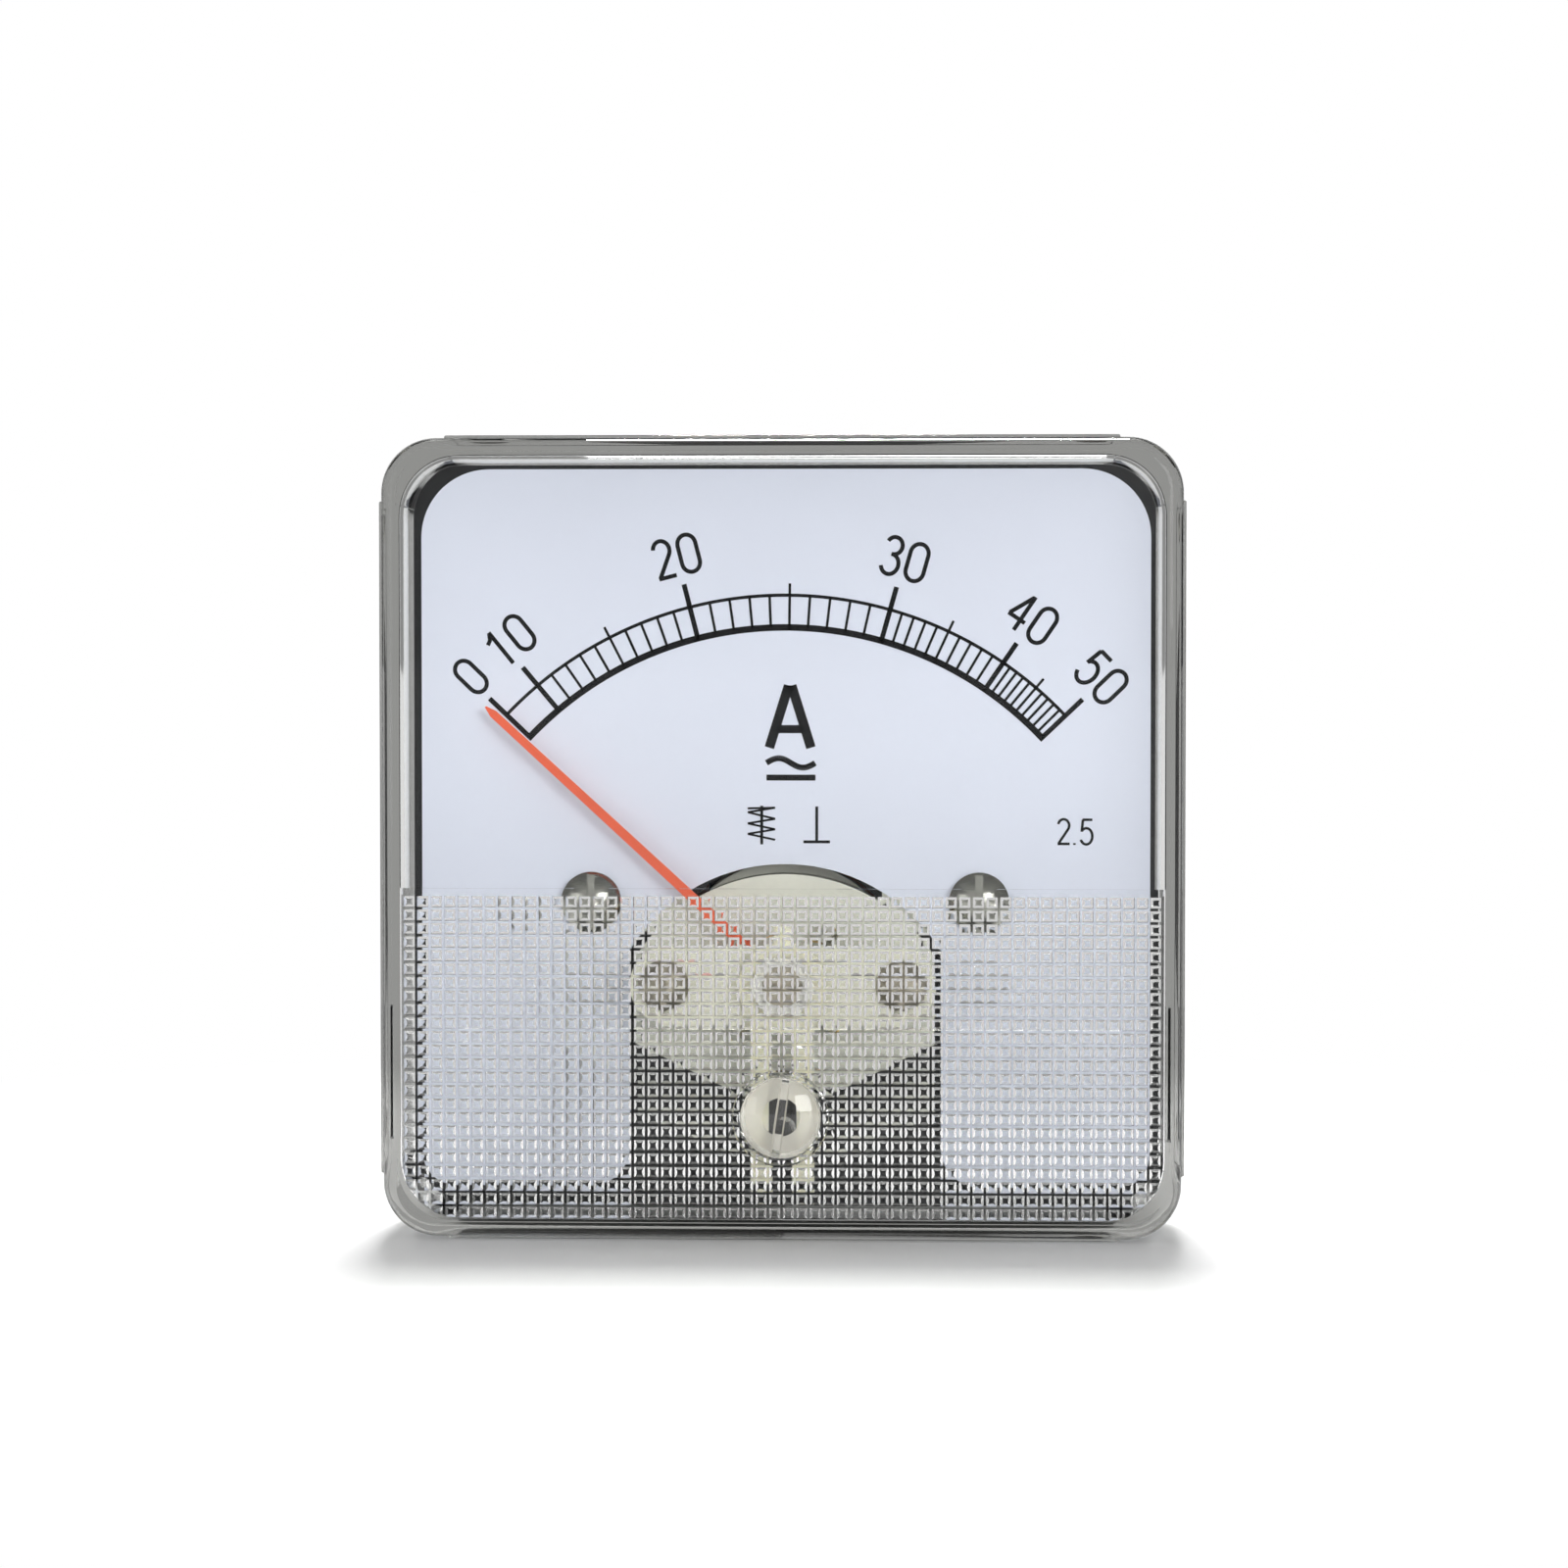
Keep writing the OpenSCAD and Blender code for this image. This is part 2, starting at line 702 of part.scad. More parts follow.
module zero_lever() {
    fork_half = pin_d / 2 + fork_gap;
    tab_w = 1.2;
    color(yellow_plastic) {
        slab(lever_y, lever_t) translate([0, axis_z]) difference() {
            union() {
                circle(lever_ring_r);
                translate([-lever_w / 2, -lever_l]) square([lever_w, lever_l]);
                translate([-tab_w / 2, 0]) square([tab_w, lever_tab_r + lever_tab_t]);
            }
            circle(bearing_r + running_gap);
            translate([-fork_half, -lever_l - eps])
                square([2 * fork_half, lever_l - fork_from]);
        }
        // tab that reaches back over the bridge to hold the hairspring
        translate([-tab_w / 2, lever_y, axis_z + lever_tab_r])
            cube([tab_w, spring_y + spring_h - lever_y, lever_tab_t]);
    }
}

// ---------- moving system ----------

module staff() {
    color(nickel) turned(0, axis_z) polygon([
        [0, staff_front_y], [staff_r, staff_front_y + staff_tip_l],
        [staff_r, staff_rear_y - staff_tip_l], [0, staff_rear_y]]);
}

module spring_collet() {
    color(brass) turned(0, axis_z) translate([staff_r + screw_gap, spring_y - 0.1])
        square([collet_r - staff_r - screw_gap, spring_h + 0.2]);
}

// Flat spiral ribbon from the collet out to the zero lever's tab
module hairspring() {
    ribbon = 0.12;
    steps = 24 * hairspring_turns;
    grow = (lever_tab_r - ribbon - collet_r) / steps;
    function at(i, extra) = let (a = i * 360 / 24, r = collet_r + grow * i + extra)
        [r * sin(a), r * cos(a)];
    color(brass) slab(spring_y, spring_h) translate([0, axis_z]) polygon(concat(
        [for (i = [0:steps]) at(i, 0)], [for (i = [steps:-1:0]) at(i, ribbon)]));
}

module pointer_hub() {
    hub_y = pointer_y + pointer_t;
    color(brass) difference() {
        union() {
            bar(0, axis_z, hub_y, hub_l, hub_r);
            bar(0, axis_z, pointer_y - 0.2, pointer_t + 0.2 + eps, spigot_r);
            translate([0, arm_y, axis_z]) rotate([0, pointer_rest, 0])
                for (a = [90, 180, 270]) rotate([0, a, 0])
                    translate([0, 0, hub_r - 0.2]) cylinder(h = arm_l - hub_r + 0.2, r = arm_r);
        }
        bar(0, axis_z, pointer_y - 1, 3, staff_r + screw_gap);
    }
}

module pointer() {
    root_w = 0.8;
    ring_r = spigot_r + 0.6;
    color(pointer_orange) slab(pointer_y, pointer_t)
        translate([0, axis_z]) rotate(-pointer_rest) difference() {
            union() {
                circle(ring_r);
                polygon([[-root_w / 2, 0], [root_w / 2, 0],
                    [pointer_tip_w / 2, pointer_l - 0.8], [0.06, pointer_l],
                    [-0.06, pointer_l], [-pointer_tip_w / 2, pointer_l - 0.8]]);
            }
            circle(spigot_r + screw_gap);
        }
}

// Balance weight: a small threaded ring on one of the hub's arms
module balance_weight(angle, r, l) {
    color(nickel) translate([0, arm_y, axis_z]) rotate([0, pointer_rest + angle, 0])
        translate([0, 0, arm_l - 0.2 - l]) difference() {
            cylinder(h = l, r = r);
            translate([0, 0, -eps]) cylinder(h = l + 2 * eps, r = arm_r + screw_gap);
        }
}

module damping_vane() {
    arm_w = 0.8;
    color(nickel) {
        slab(vane_y, vane_t) translate([0, axis_z]) rotate(-pointer_rest) difference() {
            union() {
                difference() {
                    sector(vane_r, 180, vane_half_angle);
                    circle(vane_r / 2);
                }
                translate([-arm_w / 2, -vane_r * 0.6]) square([arm_w, vane_r * 0.6]);
                circle(hub_r - 0.4);
            }
            circle(staff_r + screw_gap);
        }
        turned(0, axis_z) translate([staff_r + screw_gap, vane_y - 0.25])
            square([0.6, vane_t + 0.6]);
    }
}

// ---------- irons ----------

module ring_piece(outer_r, t, middle, half_angle, y, l) {
    slab(y, l) translate([0, axis_z]) difference() {
        sector(outer_r, middle, half_angle);
        circle(outer_r - t);
    }
}

module iron_carrier() {
    web_t = 0.4;
    color(nickel) difference() {
        union() {
            bar(0, axis_z, iron_y, iron_l, staff_r + 0.5);
            translate([0, 0, axis_z]) rotate([0, iron_rest, 0])
                translate([-web_t / 2, iron_y + 1, 0])
                    cube([web_t, iron_l - 2, moving_iron_r - iron_t - screw_gap]);
        }
        bar(0, axis_z, iron_y - eps, iron_l + 2 * eps, staff_r + screw_gap);
    }
}

module moving_iron() {
    color(soft_iron)
        ring_piece(moving_iron_r, iron_t, iron_rest, iron_half_angle, iron_y + 0.5, iron_l - 1);
}

// Curved strip inside the former, cut to a taper so that the force changes along the scale
module fixed_iron() {
    middle = iron_rest + fixed_iron_span / 2 - iron_half_angle;
    color(soft_iron) difference() {
        ring_piece(fixed_iron_r, iron_t, middle, fixed_iron_span / 2, iron_y, iron_l);
        translate([0, 0, axis_z]) rotate([0, middle, 0])
            translate([0, iron_y + iron_l * 0.6, 0]) rotate([0, 0, -35])
                translate([-2 * former_bore_d, 0, -former_bore_d])
                    cube([4 * former_bore_d, iron_l, 2 * former_bore_d]);
    }
}

// ---------- coil ----------

module coil_former() {
    bore_r = former_bore_d / 2;
    color(cream_plastic) {
        difference() {
            turned(0, axis_z) polygon([
                [bore_r, former_y], [flange_r, former_y], [flange_r, former_y + flange_t],
                [former_r, former_y + flange_t], [former_r, rear_flange_y],
                [flange_r, rear_flange_y], [flange_r, former_end_y], [bore_r, former_end_y]]);
            for (s = [-1, 1])
                bar(s * rear_screw_x, axis_z, former_end_y - rear_screw_hold - 0.1,
                    rear_screw_hold + 0.1 + eps, rear_screw_r + screw_gap);
        }
        for (s = [-1, 1])
            bar(s * peg_x, axis_z + peg_h, frame_back_y + 0.1,
                former_y - frame_back_y - 0.1 + eps, peg_r);
    }
}

// The coil's centre line: down from one lead, round the turns, up to the other lead.
// Each point is [x, y, z, angle of its ring].
ring_step = 18;
coil_rings = (coil_turns + 0.5) * 360 / ring_step;
coil_path = concat(
    [[-coil_r, coil_start_y, lead_z - axis_z, 180]],
    [for (i = [0:coil_rings]) let (a = 180 + i * ring_step)
        [coil_r * cos(a), coil_start_y + i * coil_pitch * ring_step / 360, coil_r * sin(a), a]],
    [[coil_r, coil_end_y, lead_z - axis_z, 0]]);

module coil() {
    sides = 10;
    last = len(coil_path) - 1;
    points = [for (p = coil_path, k = [0:sides - 1])
        let (u = wire_r * cos(k * 360 / sides), v = wire_r * sin(k * 360 / sides))
        [p[0] + u * cos(p[3]), p[1] + v, p[2] + u * sin(p[3])]];
    walls = [for (i = [0:last - 1], k = [0:sides - 1])
        let (n = (k + 1) % sides)
        [i * sides + k, i * sides + n, (i + 1) * sides + n, (i + 1) * sides + k]];
    ends = [[for (k = [sides - 1:-1:0]) k], [for (k = [0:sides - 1]) last * sides + k]];
    color(copper) translate([0, 0, axis_z]) polyhedron(points, concat(walls, ends));
}

module rear_bridge() {
    color(cream_plastic) difference() {
        slab(former_end_y, rear_bridge_t) translate([0, axis_z]) {
            translate([-rear_bridge_x, -rear_bridge_w / 2])
                square([2 * rear_bridge_x, rear_bridge_w]);
            circle(rear_bridge_w / 2 + 0.6);
        }
        bar(0, axis_z, former_end_y - eps, rear_bridge_t + 2 * eps, bearing_r + screw_gap);
        for (s = [-1, 1])
            bar(s * rear_screw_x, axis_z, former_end_y - eps, rear_bridge_t + 2 * eps,
                rear_screw_r + 0.1);
    }
}

// Screw that holds the rear bridge: it seats on the bridge's back and points forwards
module rear_bridge_screw(s) {
    color(nickel) translate([0, 2 * rear_bridge_end_y, 0]) mirror([0, 1, 0])
        domed_screw(s * rear_screw_x, axis_z, rear_bridge_end_y, 1.5, 0.9,
            rear_screw_r, rear_bridge_t + rear_screw_hold, screw_slot_w);
}

// ---------- leads and terminals ----------

// Copper strap, bent up from the coil's lead to its terminal
module lead_strap(s, start_y) {
    run = rear_inner_y - start_y;
    rise = terminal_z + strap_w / 2 - lead_z;
    color(copper) difference() {
        translate([s * (terminal_x - 0.4) - strap_w / 2, start_y, lead_z])
            rotate([90, 0, 90]) linear_extrude(strap_w) difference() {
                union() {
                    square([run - strap_bend_r, strap_t]);
                    translate([run - strap_t, strap_bend_r]) square([strap_t, rise - strap_bend_r]);
                    translate([run - strap_bend_r, strap_bend_r]) intersection() {
                        circle(strap_bend_r);
                        translate([0, -strap_bend_r]) square(strap_bend_r);
                    }
                }
                translate([run - strap_bend_r, strap_bend_r]) circle(strap_bend_r - strap_t);
            }
        bar(s * terminal_x, terminal_z, rear_inner_y - strap_t - eps, strap_t + 2 * eps,
            terminal_r + running_gap);
    }
}

module terminal_stud(s) {
    bevel = 0.5;
    head_y = rear_inner_y - strap_t - head_t;
    end_y = free_end_y + terminal_free_l;
    color(brass) {
        slab(head_y, head_t) translate([s * terminal_x, terminal_z]) hexagon(terminal_flats);
        turned(s * terminal_x, terminal_z) polygon([
            [0, head_y + head_t - eps], [terminal_core_r, head_y + head_t - eps],
            [terminal_core_r, free_end_y], [terminal_r, free_end_y],
            [terminal_r, end_y - bevel], [terminal_r - bevel, end_y], [0, end_y]]);
    }
}

module terminal_hex_nut(s, y, t) {
    color(brass) slab(y, t) translate([s * terminal_x, terminal_z]) difference() {
        hexagon(terminal_flats);
        circle(terminal_core_r + screw_gap);
    }
}

module terminal_washer(s) {
    color(brass) slab(washer_y, washer_t) translate([s * terminal_x, terminal_z]) difference() {
        circle(terminal_r + washer_gap + washer_w);
        circle(terminal_r + washer_gap);
    }
}

// Split ring, cut through at the top
module spring_washer(s) {
    outer_r = terminal_r + washer_gap + spring_washer_w;
    color(nickel) slab(spring_washer_y, spring_washer_t)
        translate([s * terminal_x, terminal_z]) difference() {
            circle(outer_r);
            circle(terminal_r + washer_gap);
            rotate(20) translate([-spring_washer_split / 2, 0])
                square([spring_washer_split, outer_r + 1]);
        }
}

// ---------- nodes ----------

front_cover();
zero_adjuster();
base_housing();
mounting_stud(-1, 1);  // mounting_stud_top_left
mounting_stud(1, 1);  // mounting_stud_top_right
mounting_stud(-1, -1);  // mounting_stud_bottom_left
mounting_stud(1, -1);  // mounting_stud_bottom_right
dial_plate();
dial_screw(-1);  // dial_screw_left
dial_screw(1);  // dial_screw_right
movement_frame();
damping_cover();
front_bridge();
bridge_screw(-1);  // bridge_screw_left
bridge_screw(1);  // bridge_screw_right
bearing_screw(bearing_back_y, bearing_back_y - bearing_front_y, 1);  // front_bearing_screw
jewel(bearing_back_y, 1);  // front_jewel
lock_nut(lever_y - 0.5, 0.45);  // front_lock_nut
zero_lever();
staff();
spring_collet();
hairspring();
pointer_hub();
pointer();
balance_weight(180, weight_r * 1.1, weight_l * 1.3);  // tail_weight
balance_weight(270, weight_r, weight_l);  // cross_weight_left
balance_weight(90, weight_r, weight_l);  // cross_weight_right
damping_vane();
iron_carrier();
moving_iron();
fixed_iron();
coil_former();
coil();
rear_bridge();
rear_bridge_screw(-1);  // rear_bridge_screw_left
rear_bridge_screw(1);  // rear_bridge_screw_right
bearing_screw(rear_bearing_y, rear_bearing_l, -1);  // rear_bearing_screw
jewel(rear_bearing_y, -1);  // rear_jewel
lock_nut(rear_bridge_end_y, 1.4);  // rear_lock_nut
lead_strap(-1, coil_start_y - wire_r);  // lead_strap_left
lead_strap(1, coil_end_y - wire_r);  // lead_strap_right
terminal_stud(-1);  // terminal_stud_left
terminal_stud(1);  // terminal_stud_right
terminal_hex_nut(-1, fixing_nut_y, fixing_nut_t);  // fixing_nut_left
terminal_hex_nut(1, fixing_nut_y, fixing_nut_t);  // fixing_nut_right
terminal_washer(-1);  // terminal_washer_left
terminal_washer(1);  // terminal_washer_right
spring_washer(-1);  // spring_washer_left
spring_washer(1);  // spring_washer_right
terminal_hex_nut(-1, nut_y, nut_t);  // terminal_nut_left
terminal_hex_nut(1, nut_y, nut_t);  // terminal_nut_right
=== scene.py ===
"""Looks of a square panel ammeter: clear cover, dial, movement, housing and its stage."""

import math

import bmesh
import bpy
from bpy.props import FloatProperty, FloatVectorProperty, IntProperty, PointerProperty
from mathutils import Matrix, Vector
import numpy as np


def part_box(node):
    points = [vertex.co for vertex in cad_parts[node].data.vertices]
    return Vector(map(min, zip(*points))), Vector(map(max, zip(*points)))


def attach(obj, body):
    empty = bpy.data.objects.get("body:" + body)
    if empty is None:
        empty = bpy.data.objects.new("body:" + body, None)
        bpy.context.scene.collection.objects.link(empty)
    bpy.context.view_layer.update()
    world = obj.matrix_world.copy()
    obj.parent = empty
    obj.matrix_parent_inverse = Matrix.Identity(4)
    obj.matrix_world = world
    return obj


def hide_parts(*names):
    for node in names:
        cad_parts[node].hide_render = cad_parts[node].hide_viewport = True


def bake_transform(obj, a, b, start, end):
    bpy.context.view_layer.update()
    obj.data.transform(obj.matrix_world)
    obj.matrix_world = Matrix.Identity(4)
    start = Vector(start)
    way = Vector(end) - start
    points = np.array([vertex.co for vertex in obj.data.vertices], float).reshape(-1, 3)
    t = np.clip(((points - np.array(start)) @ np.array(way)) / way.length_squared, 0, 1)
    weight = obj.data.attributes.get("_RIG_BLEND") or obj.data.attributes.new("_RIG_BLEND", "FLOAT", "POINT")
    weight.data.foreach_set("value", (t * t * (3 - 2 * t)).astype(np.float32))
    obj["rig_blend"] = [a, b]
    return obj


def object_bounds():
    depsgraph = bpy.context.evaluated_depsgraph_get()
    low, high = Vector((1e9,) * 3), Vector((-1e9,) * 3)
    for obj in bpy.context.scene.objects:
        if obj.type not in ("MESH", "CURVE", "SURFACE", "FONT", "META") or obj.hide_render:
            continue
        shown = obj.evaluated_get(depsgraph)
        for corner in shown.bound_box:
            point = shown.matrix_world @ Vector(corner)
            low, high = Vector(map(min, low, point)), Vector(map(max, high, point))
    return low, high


bl_info = {
    "name": "Panel ammeter",
    "version": (1, 0, 0),
    "blender": (4, 5, 0),
    "location": "View3D > Sidebar > Ammeter",
    "description": "Dresses the panel ammeter with its clear cover, dial print and finishes",
    "category": "Object",
}

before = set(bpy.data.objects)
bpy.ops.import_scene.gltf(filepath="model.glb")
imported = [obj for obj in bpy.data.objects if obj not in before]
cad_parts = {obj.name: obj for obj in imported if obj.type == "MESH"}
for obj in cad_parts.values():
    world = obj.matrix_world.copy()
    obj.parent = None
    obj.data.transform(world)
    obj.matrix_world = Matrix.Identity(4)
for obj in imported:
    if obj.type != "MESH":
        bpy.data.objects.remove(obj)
CAD_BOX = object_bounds()
MM = 0.001
TURN = 2 * math.pi


def middle(node):
    """The middle of a CAD node's box at rest."""
    low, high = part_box(node)
    return (low + high) / 2


COVER_LOW, COVER_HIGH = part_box("front_cover")
DIAL_LOW, DIAL_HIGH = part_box("dial_plate")
AXIS_Z = middle("staff").z
STAFF_AXIS = (0.0, AXIS_Z)
ADJUSTER_Z = middle("zero_adjuster").z


# ---------- sizes and colours ----------


def length(name, description, mm):
    """A length that a user can change, given in mm."""
    return FloatProperty(name=name, description=description, default=mm * MM, unit="LENGTH")


def colour(name, description, value):
    """A colour that a user can change."""
    return FloatVectorProperty(
        name=name, description=description, default=value, subtype="COLOR", size=3, min=0, max=1
    )


class CoverSizes(bpy.types.PropertyGroup):
    wall: length("Wall", "Thickness of the side walls", 1.4)
    front: length("Front", "Thickness of the front", 1.8)
    corner: length("Corner", "Corner radius outside", 4.1)
    inner_corner: length("Inner corner", "Corner radius inside", 4.6)
    edge: length("Edge", "Radius of the front edge", 1.2)
    inner_edge: length("Inner edge", "Radius between front and walls inside", 0.9)
    window_edge: length("Window edge", "The same radius in the lower window", 0.3)
    land: length("Land", "Height of the four side lands", 0.2)
    land_length: length("Land length", "Length of a side land", 50.2)
    collar: length("Collar", "Height of the collar round the adjuster", 0.5)
    latch_half: length("Latch half", "Half length of a latch pocket", 5.15)
    latch_middle: length("Latch middle", "Height of the latches' middle", -18.2)
    latch_high: length("Latch high", "Front of a latch pocket from the seat", 2.35)
    latch_low: length("Latch low", "Back of a latch pocket from the seat", 0.75)
    latch_depth: length("Latch depth", "Depth of a latch pocket in the wall", 0.4)
    window_top: length("Window top", "Height of the lower window's top edge", -3.75)
    window_pad: length("Window pad", "Extra thickness of the lower window", 0.4)
    pitch: length("Pitch", "Pitch of the window's pyramids", 1.013)
    groove: length("Groove", "Width of the flat groove between two pyramids", 0.18)
    slope: length("Slope", "Height of a pyramid, and the width of its slopes", 0.21)
    tip_corner: length("Tip corner", "Size of the chamfer at a pyramid's top corners", 0.11)


class AdjusterSizes(bpy.types.PropertyGroup):
    head: length("Head", "Radius of the clear head", 3.0)
    shank: length("Shank", "Radius of the shank", 1.3)
    dome: length("Dome", "Height of the domed end", 0.7)
    chamfer: length("Chamfer", "Chamfer round the underside of the head", 0.5)
    slot: length("Slot", "Width of the screwdriver slot", 1.1)
    slot_depth: length("Slot depth", "Depth of the slot below the rim", 0.25)
    slot_taper: FloatProperty(
        name="Slot taper", description="Width of the slot's floor as a share of its mouth",
        default=0.47, min=0.3, max=1.0,
    )


class DialSizes(bpy.types.PropertyGroup):
    ink: length("Ink", "Thickness of the print", 0.02)
    inner_arc: length("Inner arc", "Radius of the thick arc", 26.95)
    inner_arc_width: length("Inner arc width", "Width of the thick arc", 0.5)
    outer_arc: length("Outer arc", "Radius of the thin arc", 29.4)
    outer_arc_width: length("Outer arc width", "Width of the thin arc", 0.25)
    long_tick: length("Long tick", "Outer end of the tens' ticks", 31.2)
    mid_tick: length("Middle tick", "Outer end of the fives' ticks", 30.3)
    thick: length("Thick line", "Width of the tens' ticks", 0.38)
    thin: length("Thin line", "Width of the other ticks", 0.2)
    numeral_radius: length("Numeral radius", "Radius of the numerals' centres", 33.4)
    numeral_height: length("Numeral height", "Height of the numerals", 3.0)
    numeral_stroke: length("Numeral stroke", "Line width of the numerals", 0.32)


class HardwareSizes(bpy.types.PropertyGroup):
    stud: length("Stud", "Thread radius of the mounting studs", 1.5)
    stud_pitch: length("Stud pitch", "Thread pitch of the mounting studs", 0.5)
    stud_depth: length("Stud thread depth", "Depth of the mounting studs' thread", 0.29)
    terminal: length("Terminal", "Thread radius of the terminals", 2.0)
    terminal_pitch: length("Terminal pitch", "Thread pitch of the terminals", 0.7)
    terminal_depth: length("Terminal thread depth", "Depth of the terminals' thread", 0.3)
    terminal_head: length("Terminal head", "Thickness of the terminals' head inside", 3.0)
    lead_in: length("Lead-in", "Chamfer at a thread's end", 0.45)
    ribbon: length("Ribbon", "Thickness of the hairspring's strip", 0.07)
    turns: IntProperty(name="Turns", description="Turns of the hairspring", default=4, min=1, max=8)


class Finishes(bpy.types.PropertyGroup):
    dial: colour("Dial", "Enamel of the dial", (0.775, 0.81, 0.94))
    ink: colour("Ink", "Print on the dial", (0.008, 0.008, 0.010))
    pointer: colour("Pointer", "Paint of the pointer", (0.86, 0.13, 0.055))
    cream: colour("Cream", "Moulding of the movement frame", (0.74, 0.74, 0.66))
    bone: colour("Bone", "Moulding of the front bridge", (0.88, 0.86, 0.72))
    nylon: colour("Nylon", "Moulding of the zero lever", (0.96, 0.90, 0.70))
    black: colour("Black", "Moulding of the base", (0.012, 0.012, 0.014))
    clear: colour("Clear", "Tint of the clear moulding", (0.995, 1.0, 0.995))
    nickel: colour("Nickel", "Plated screws and studs", (0.62, 0.61, 0.56))
    chrome: colour("Chrome", "Plating of the dial screws", (0.36, 0.36, 0.33))
    dull: colour("Dull nickel", "Aged plating of the movement's screws", (0.42, 0.38, 0.31))
    brass: colour("Brass", "Turned brass", (0.63, 0.45, 0.17))
    bronze: colour("Bronze", "Spring strip", (0.60, 0.38, 0.16))
    copper: colour("Copper", "Straps and coil", (0.72, 0.32, 0.18))
    steel: colour("Steel", "Staff", (0.50, 0.51, 0.53))
    aluminium: colour("Aluminium", "Damping vane", (0.70, 0.71, 0.73))
    iron: colour("Iron", "Soft iron", (0.20, 0.21, 0.22))
    ruby: colour("Ruby", "Jewels", (0.50, 0.02, 0.06))


# What a metre of clear moulding takes off red, green and blue, as exponents.
CLEAR_TAKES = (90.0, 90.0, 92.0)
KNOB_TAKES = (12.0, 13.0, 18.0)
FROST_WHITE = (0.98, 0.95, 0.86, 1)


def chosen(group):
    """The scene's values for the cover, adjuster, dial, hardware or finishes."""
    return getattr(bpy.context.scene, f"meter_{group}")


# ---------- mesh helpers ----------

SAME_POINT = 1e-7
CORNER_STEPS = 18


def in_scene(name, data):
    """Makes an object of the scene."""
    thing = bpy.data.objects.new(name, data)
    bpy.context.scene.collection.objects.link(thing)
    return thing


def as_mesh(name, bm):
    """Makes a mesh of a bmesh, which is freed."""
    mesh = bpy.data.meshes.new(name)
    bm.to_mesh(mesh)
    bm.free()
    return mesh


def as_bmesh(thing):
    """Makes a bmesh of an object with its modifiers applied; the object is removed."""
    depsgraph = bpy.context.evaluated_depsgraph_get()
    mesh = bpy.data.meshes.new_from_object(thing.evaluated_get(depsgraph))
    bpy.data.objects.remove(thing)
    bm = bmesh.new()
    bm.from_mesh(mesh)
    bpy.data.meshes.remove(mesh)
    return bm


def finished(name, bm, material, body, sharp=35.0, weighted=False):
    """Turns a bmesh into a piece; it rides on a body unless that is None."""
    mesh = as_mesh(name, bm)
    piece = in_scene(name, mesh)
    mesh.materials.append(material)
    mesh.shade_smooth()
    mesh.set_sharp_from_angle(angle=math.radians(sharp))
    if weighted:
        modifier = piece.modifiers.new("flat faces lead", "WEIGHTED_NORMAL")
        modifier.keep_sharp = True
        modifier.weight = 90
    if body:
        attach(piece, body)
    return piece


def cut(bm, tools):
    """Applies exact Booleans: each tool is a bmesh and one of UNION, DIFFERENCE or INTERSECT."""
    for tool_bm, operation in tools:
        base = in_scene("blank", as_mesh("blank", bm))
        tool = in_scene("tool", as_mesh("tool", tool_bm))
        modifier = base.modifiers.new("cut", "BOOLEAN")
        modifier.operation = operation
        modifier.solver = "EXACT"
        modifier.object = tool
        bm = as_bmesh(base)
        bpy.data.objects.remove(tool)
    return bm


def box(low, high):
    """A block between two corners."""
    low, high = Vector(low), Vector(high)
    bm = bmesh.new()
    place = Matrix.Translation((low + high) / 2) @ Matrix.Diagonal((*(high - low), 1))
    bmesh.ops.create_cube(bm, size=1, matrix=place)
    return bm


def bar(z, front, back, radius, segments):
    """A round bar along y, at a height."""
    bm = bmesh.new()
    place = Matrix.Translation((0, (front + back) / 2, z)) @ Matrix.Rotation(math.pi / 2, 4, "X")
    bmesh.ops.create_cone(
        bm, cap_ends=True, segments=segments, radius1=radius, radius2=radius,
        depth=back - front, matrix=place,
    )
    return bm


def turned(z, profile, segments=96):
    """Spins a profile of (radius, y) points once round an axis along y, at a height."""
    bm = bmesh.new()
    points = [bm.verts.new((radius, y, z)) for radius, y in profile]
    edges = [bm.edges.new(pair) for pair in zip(points, points[1:])]
    bmesh.ops.spin(
        bm, geom=points + edges, cent=(0, 0, z), axis=(0, 1, 0), angle=TURN,
        steps=segments, use_merge=True, use_duplicate=False,
    )
    bmesh.ops.remove_doubles(bm, verts=bm.verts, dist=SAME_POINT)
    return outwards(bm)


def arc(radius, start, end, count, at=(0, 0)):
    """Points (u, v) on an arc; the angles are in degrees from the u axis towards v."""
    angles = [math.radians(start + (end - start) * i / count) for i in range(count + 1)]
    return [(at[0] + radius * math.cos(a), at[1] + radius * math.sin(a)) for a in angles]


def rounded_block(half, corner, edge, front, back, edge_steps):
    """Square block along y: round corners, and a round edge all along its front."""
    bm = box((-half, front, -half), (half, back, half))
    long_edges = [e for e in bm.edges if abs((e.verts[0].co - e.verts[1].co).y) > edge]
    bevel(bm, long_edges, corner, CORNER_STEPS)
    rim = {e for f in bm.faces if f.normal.y < -0.9 for e in f.edges}
    bevel(bm, list(rim), edge, edge_steps)
    return bm


def bevel(bm, edges, offset, segments):
    """Rounds edges."""
    bm.normal_update()
    bmesh.ops.bevel(
        bm, geom=edges, offset=offset, offset_type="OFFSET", affect="EDGES",
        segments=segments, profile=0.5, material=-1, clamp_overlap=False,
    )
    bm.normal_update()


def joined(*parts):
    """Copies several bmeshes into one."""
    whole = bmesh.new()
    for part in parts:
        mesh = as_mesh("part", part)
        whole.from_mesh(mesh)
        bpy.data.meshes.remove(mesh)
    return whole


def rotate(bm, angle, axis="Y"):
    """Turns a whole bmesh about the origin."""
    bmesh.ops.rotate(bm, verts=bm.verts, cent=(0, 0, 0), matrix=Matrix.Rotation(angle, 3, axis))
    return bm


def move(bm, x, y, z):
    """Moves a whole bmesh."""
    bmesh.ops.translate(bm, verts=bm.verts, vec=(x, y, z))
    return bm


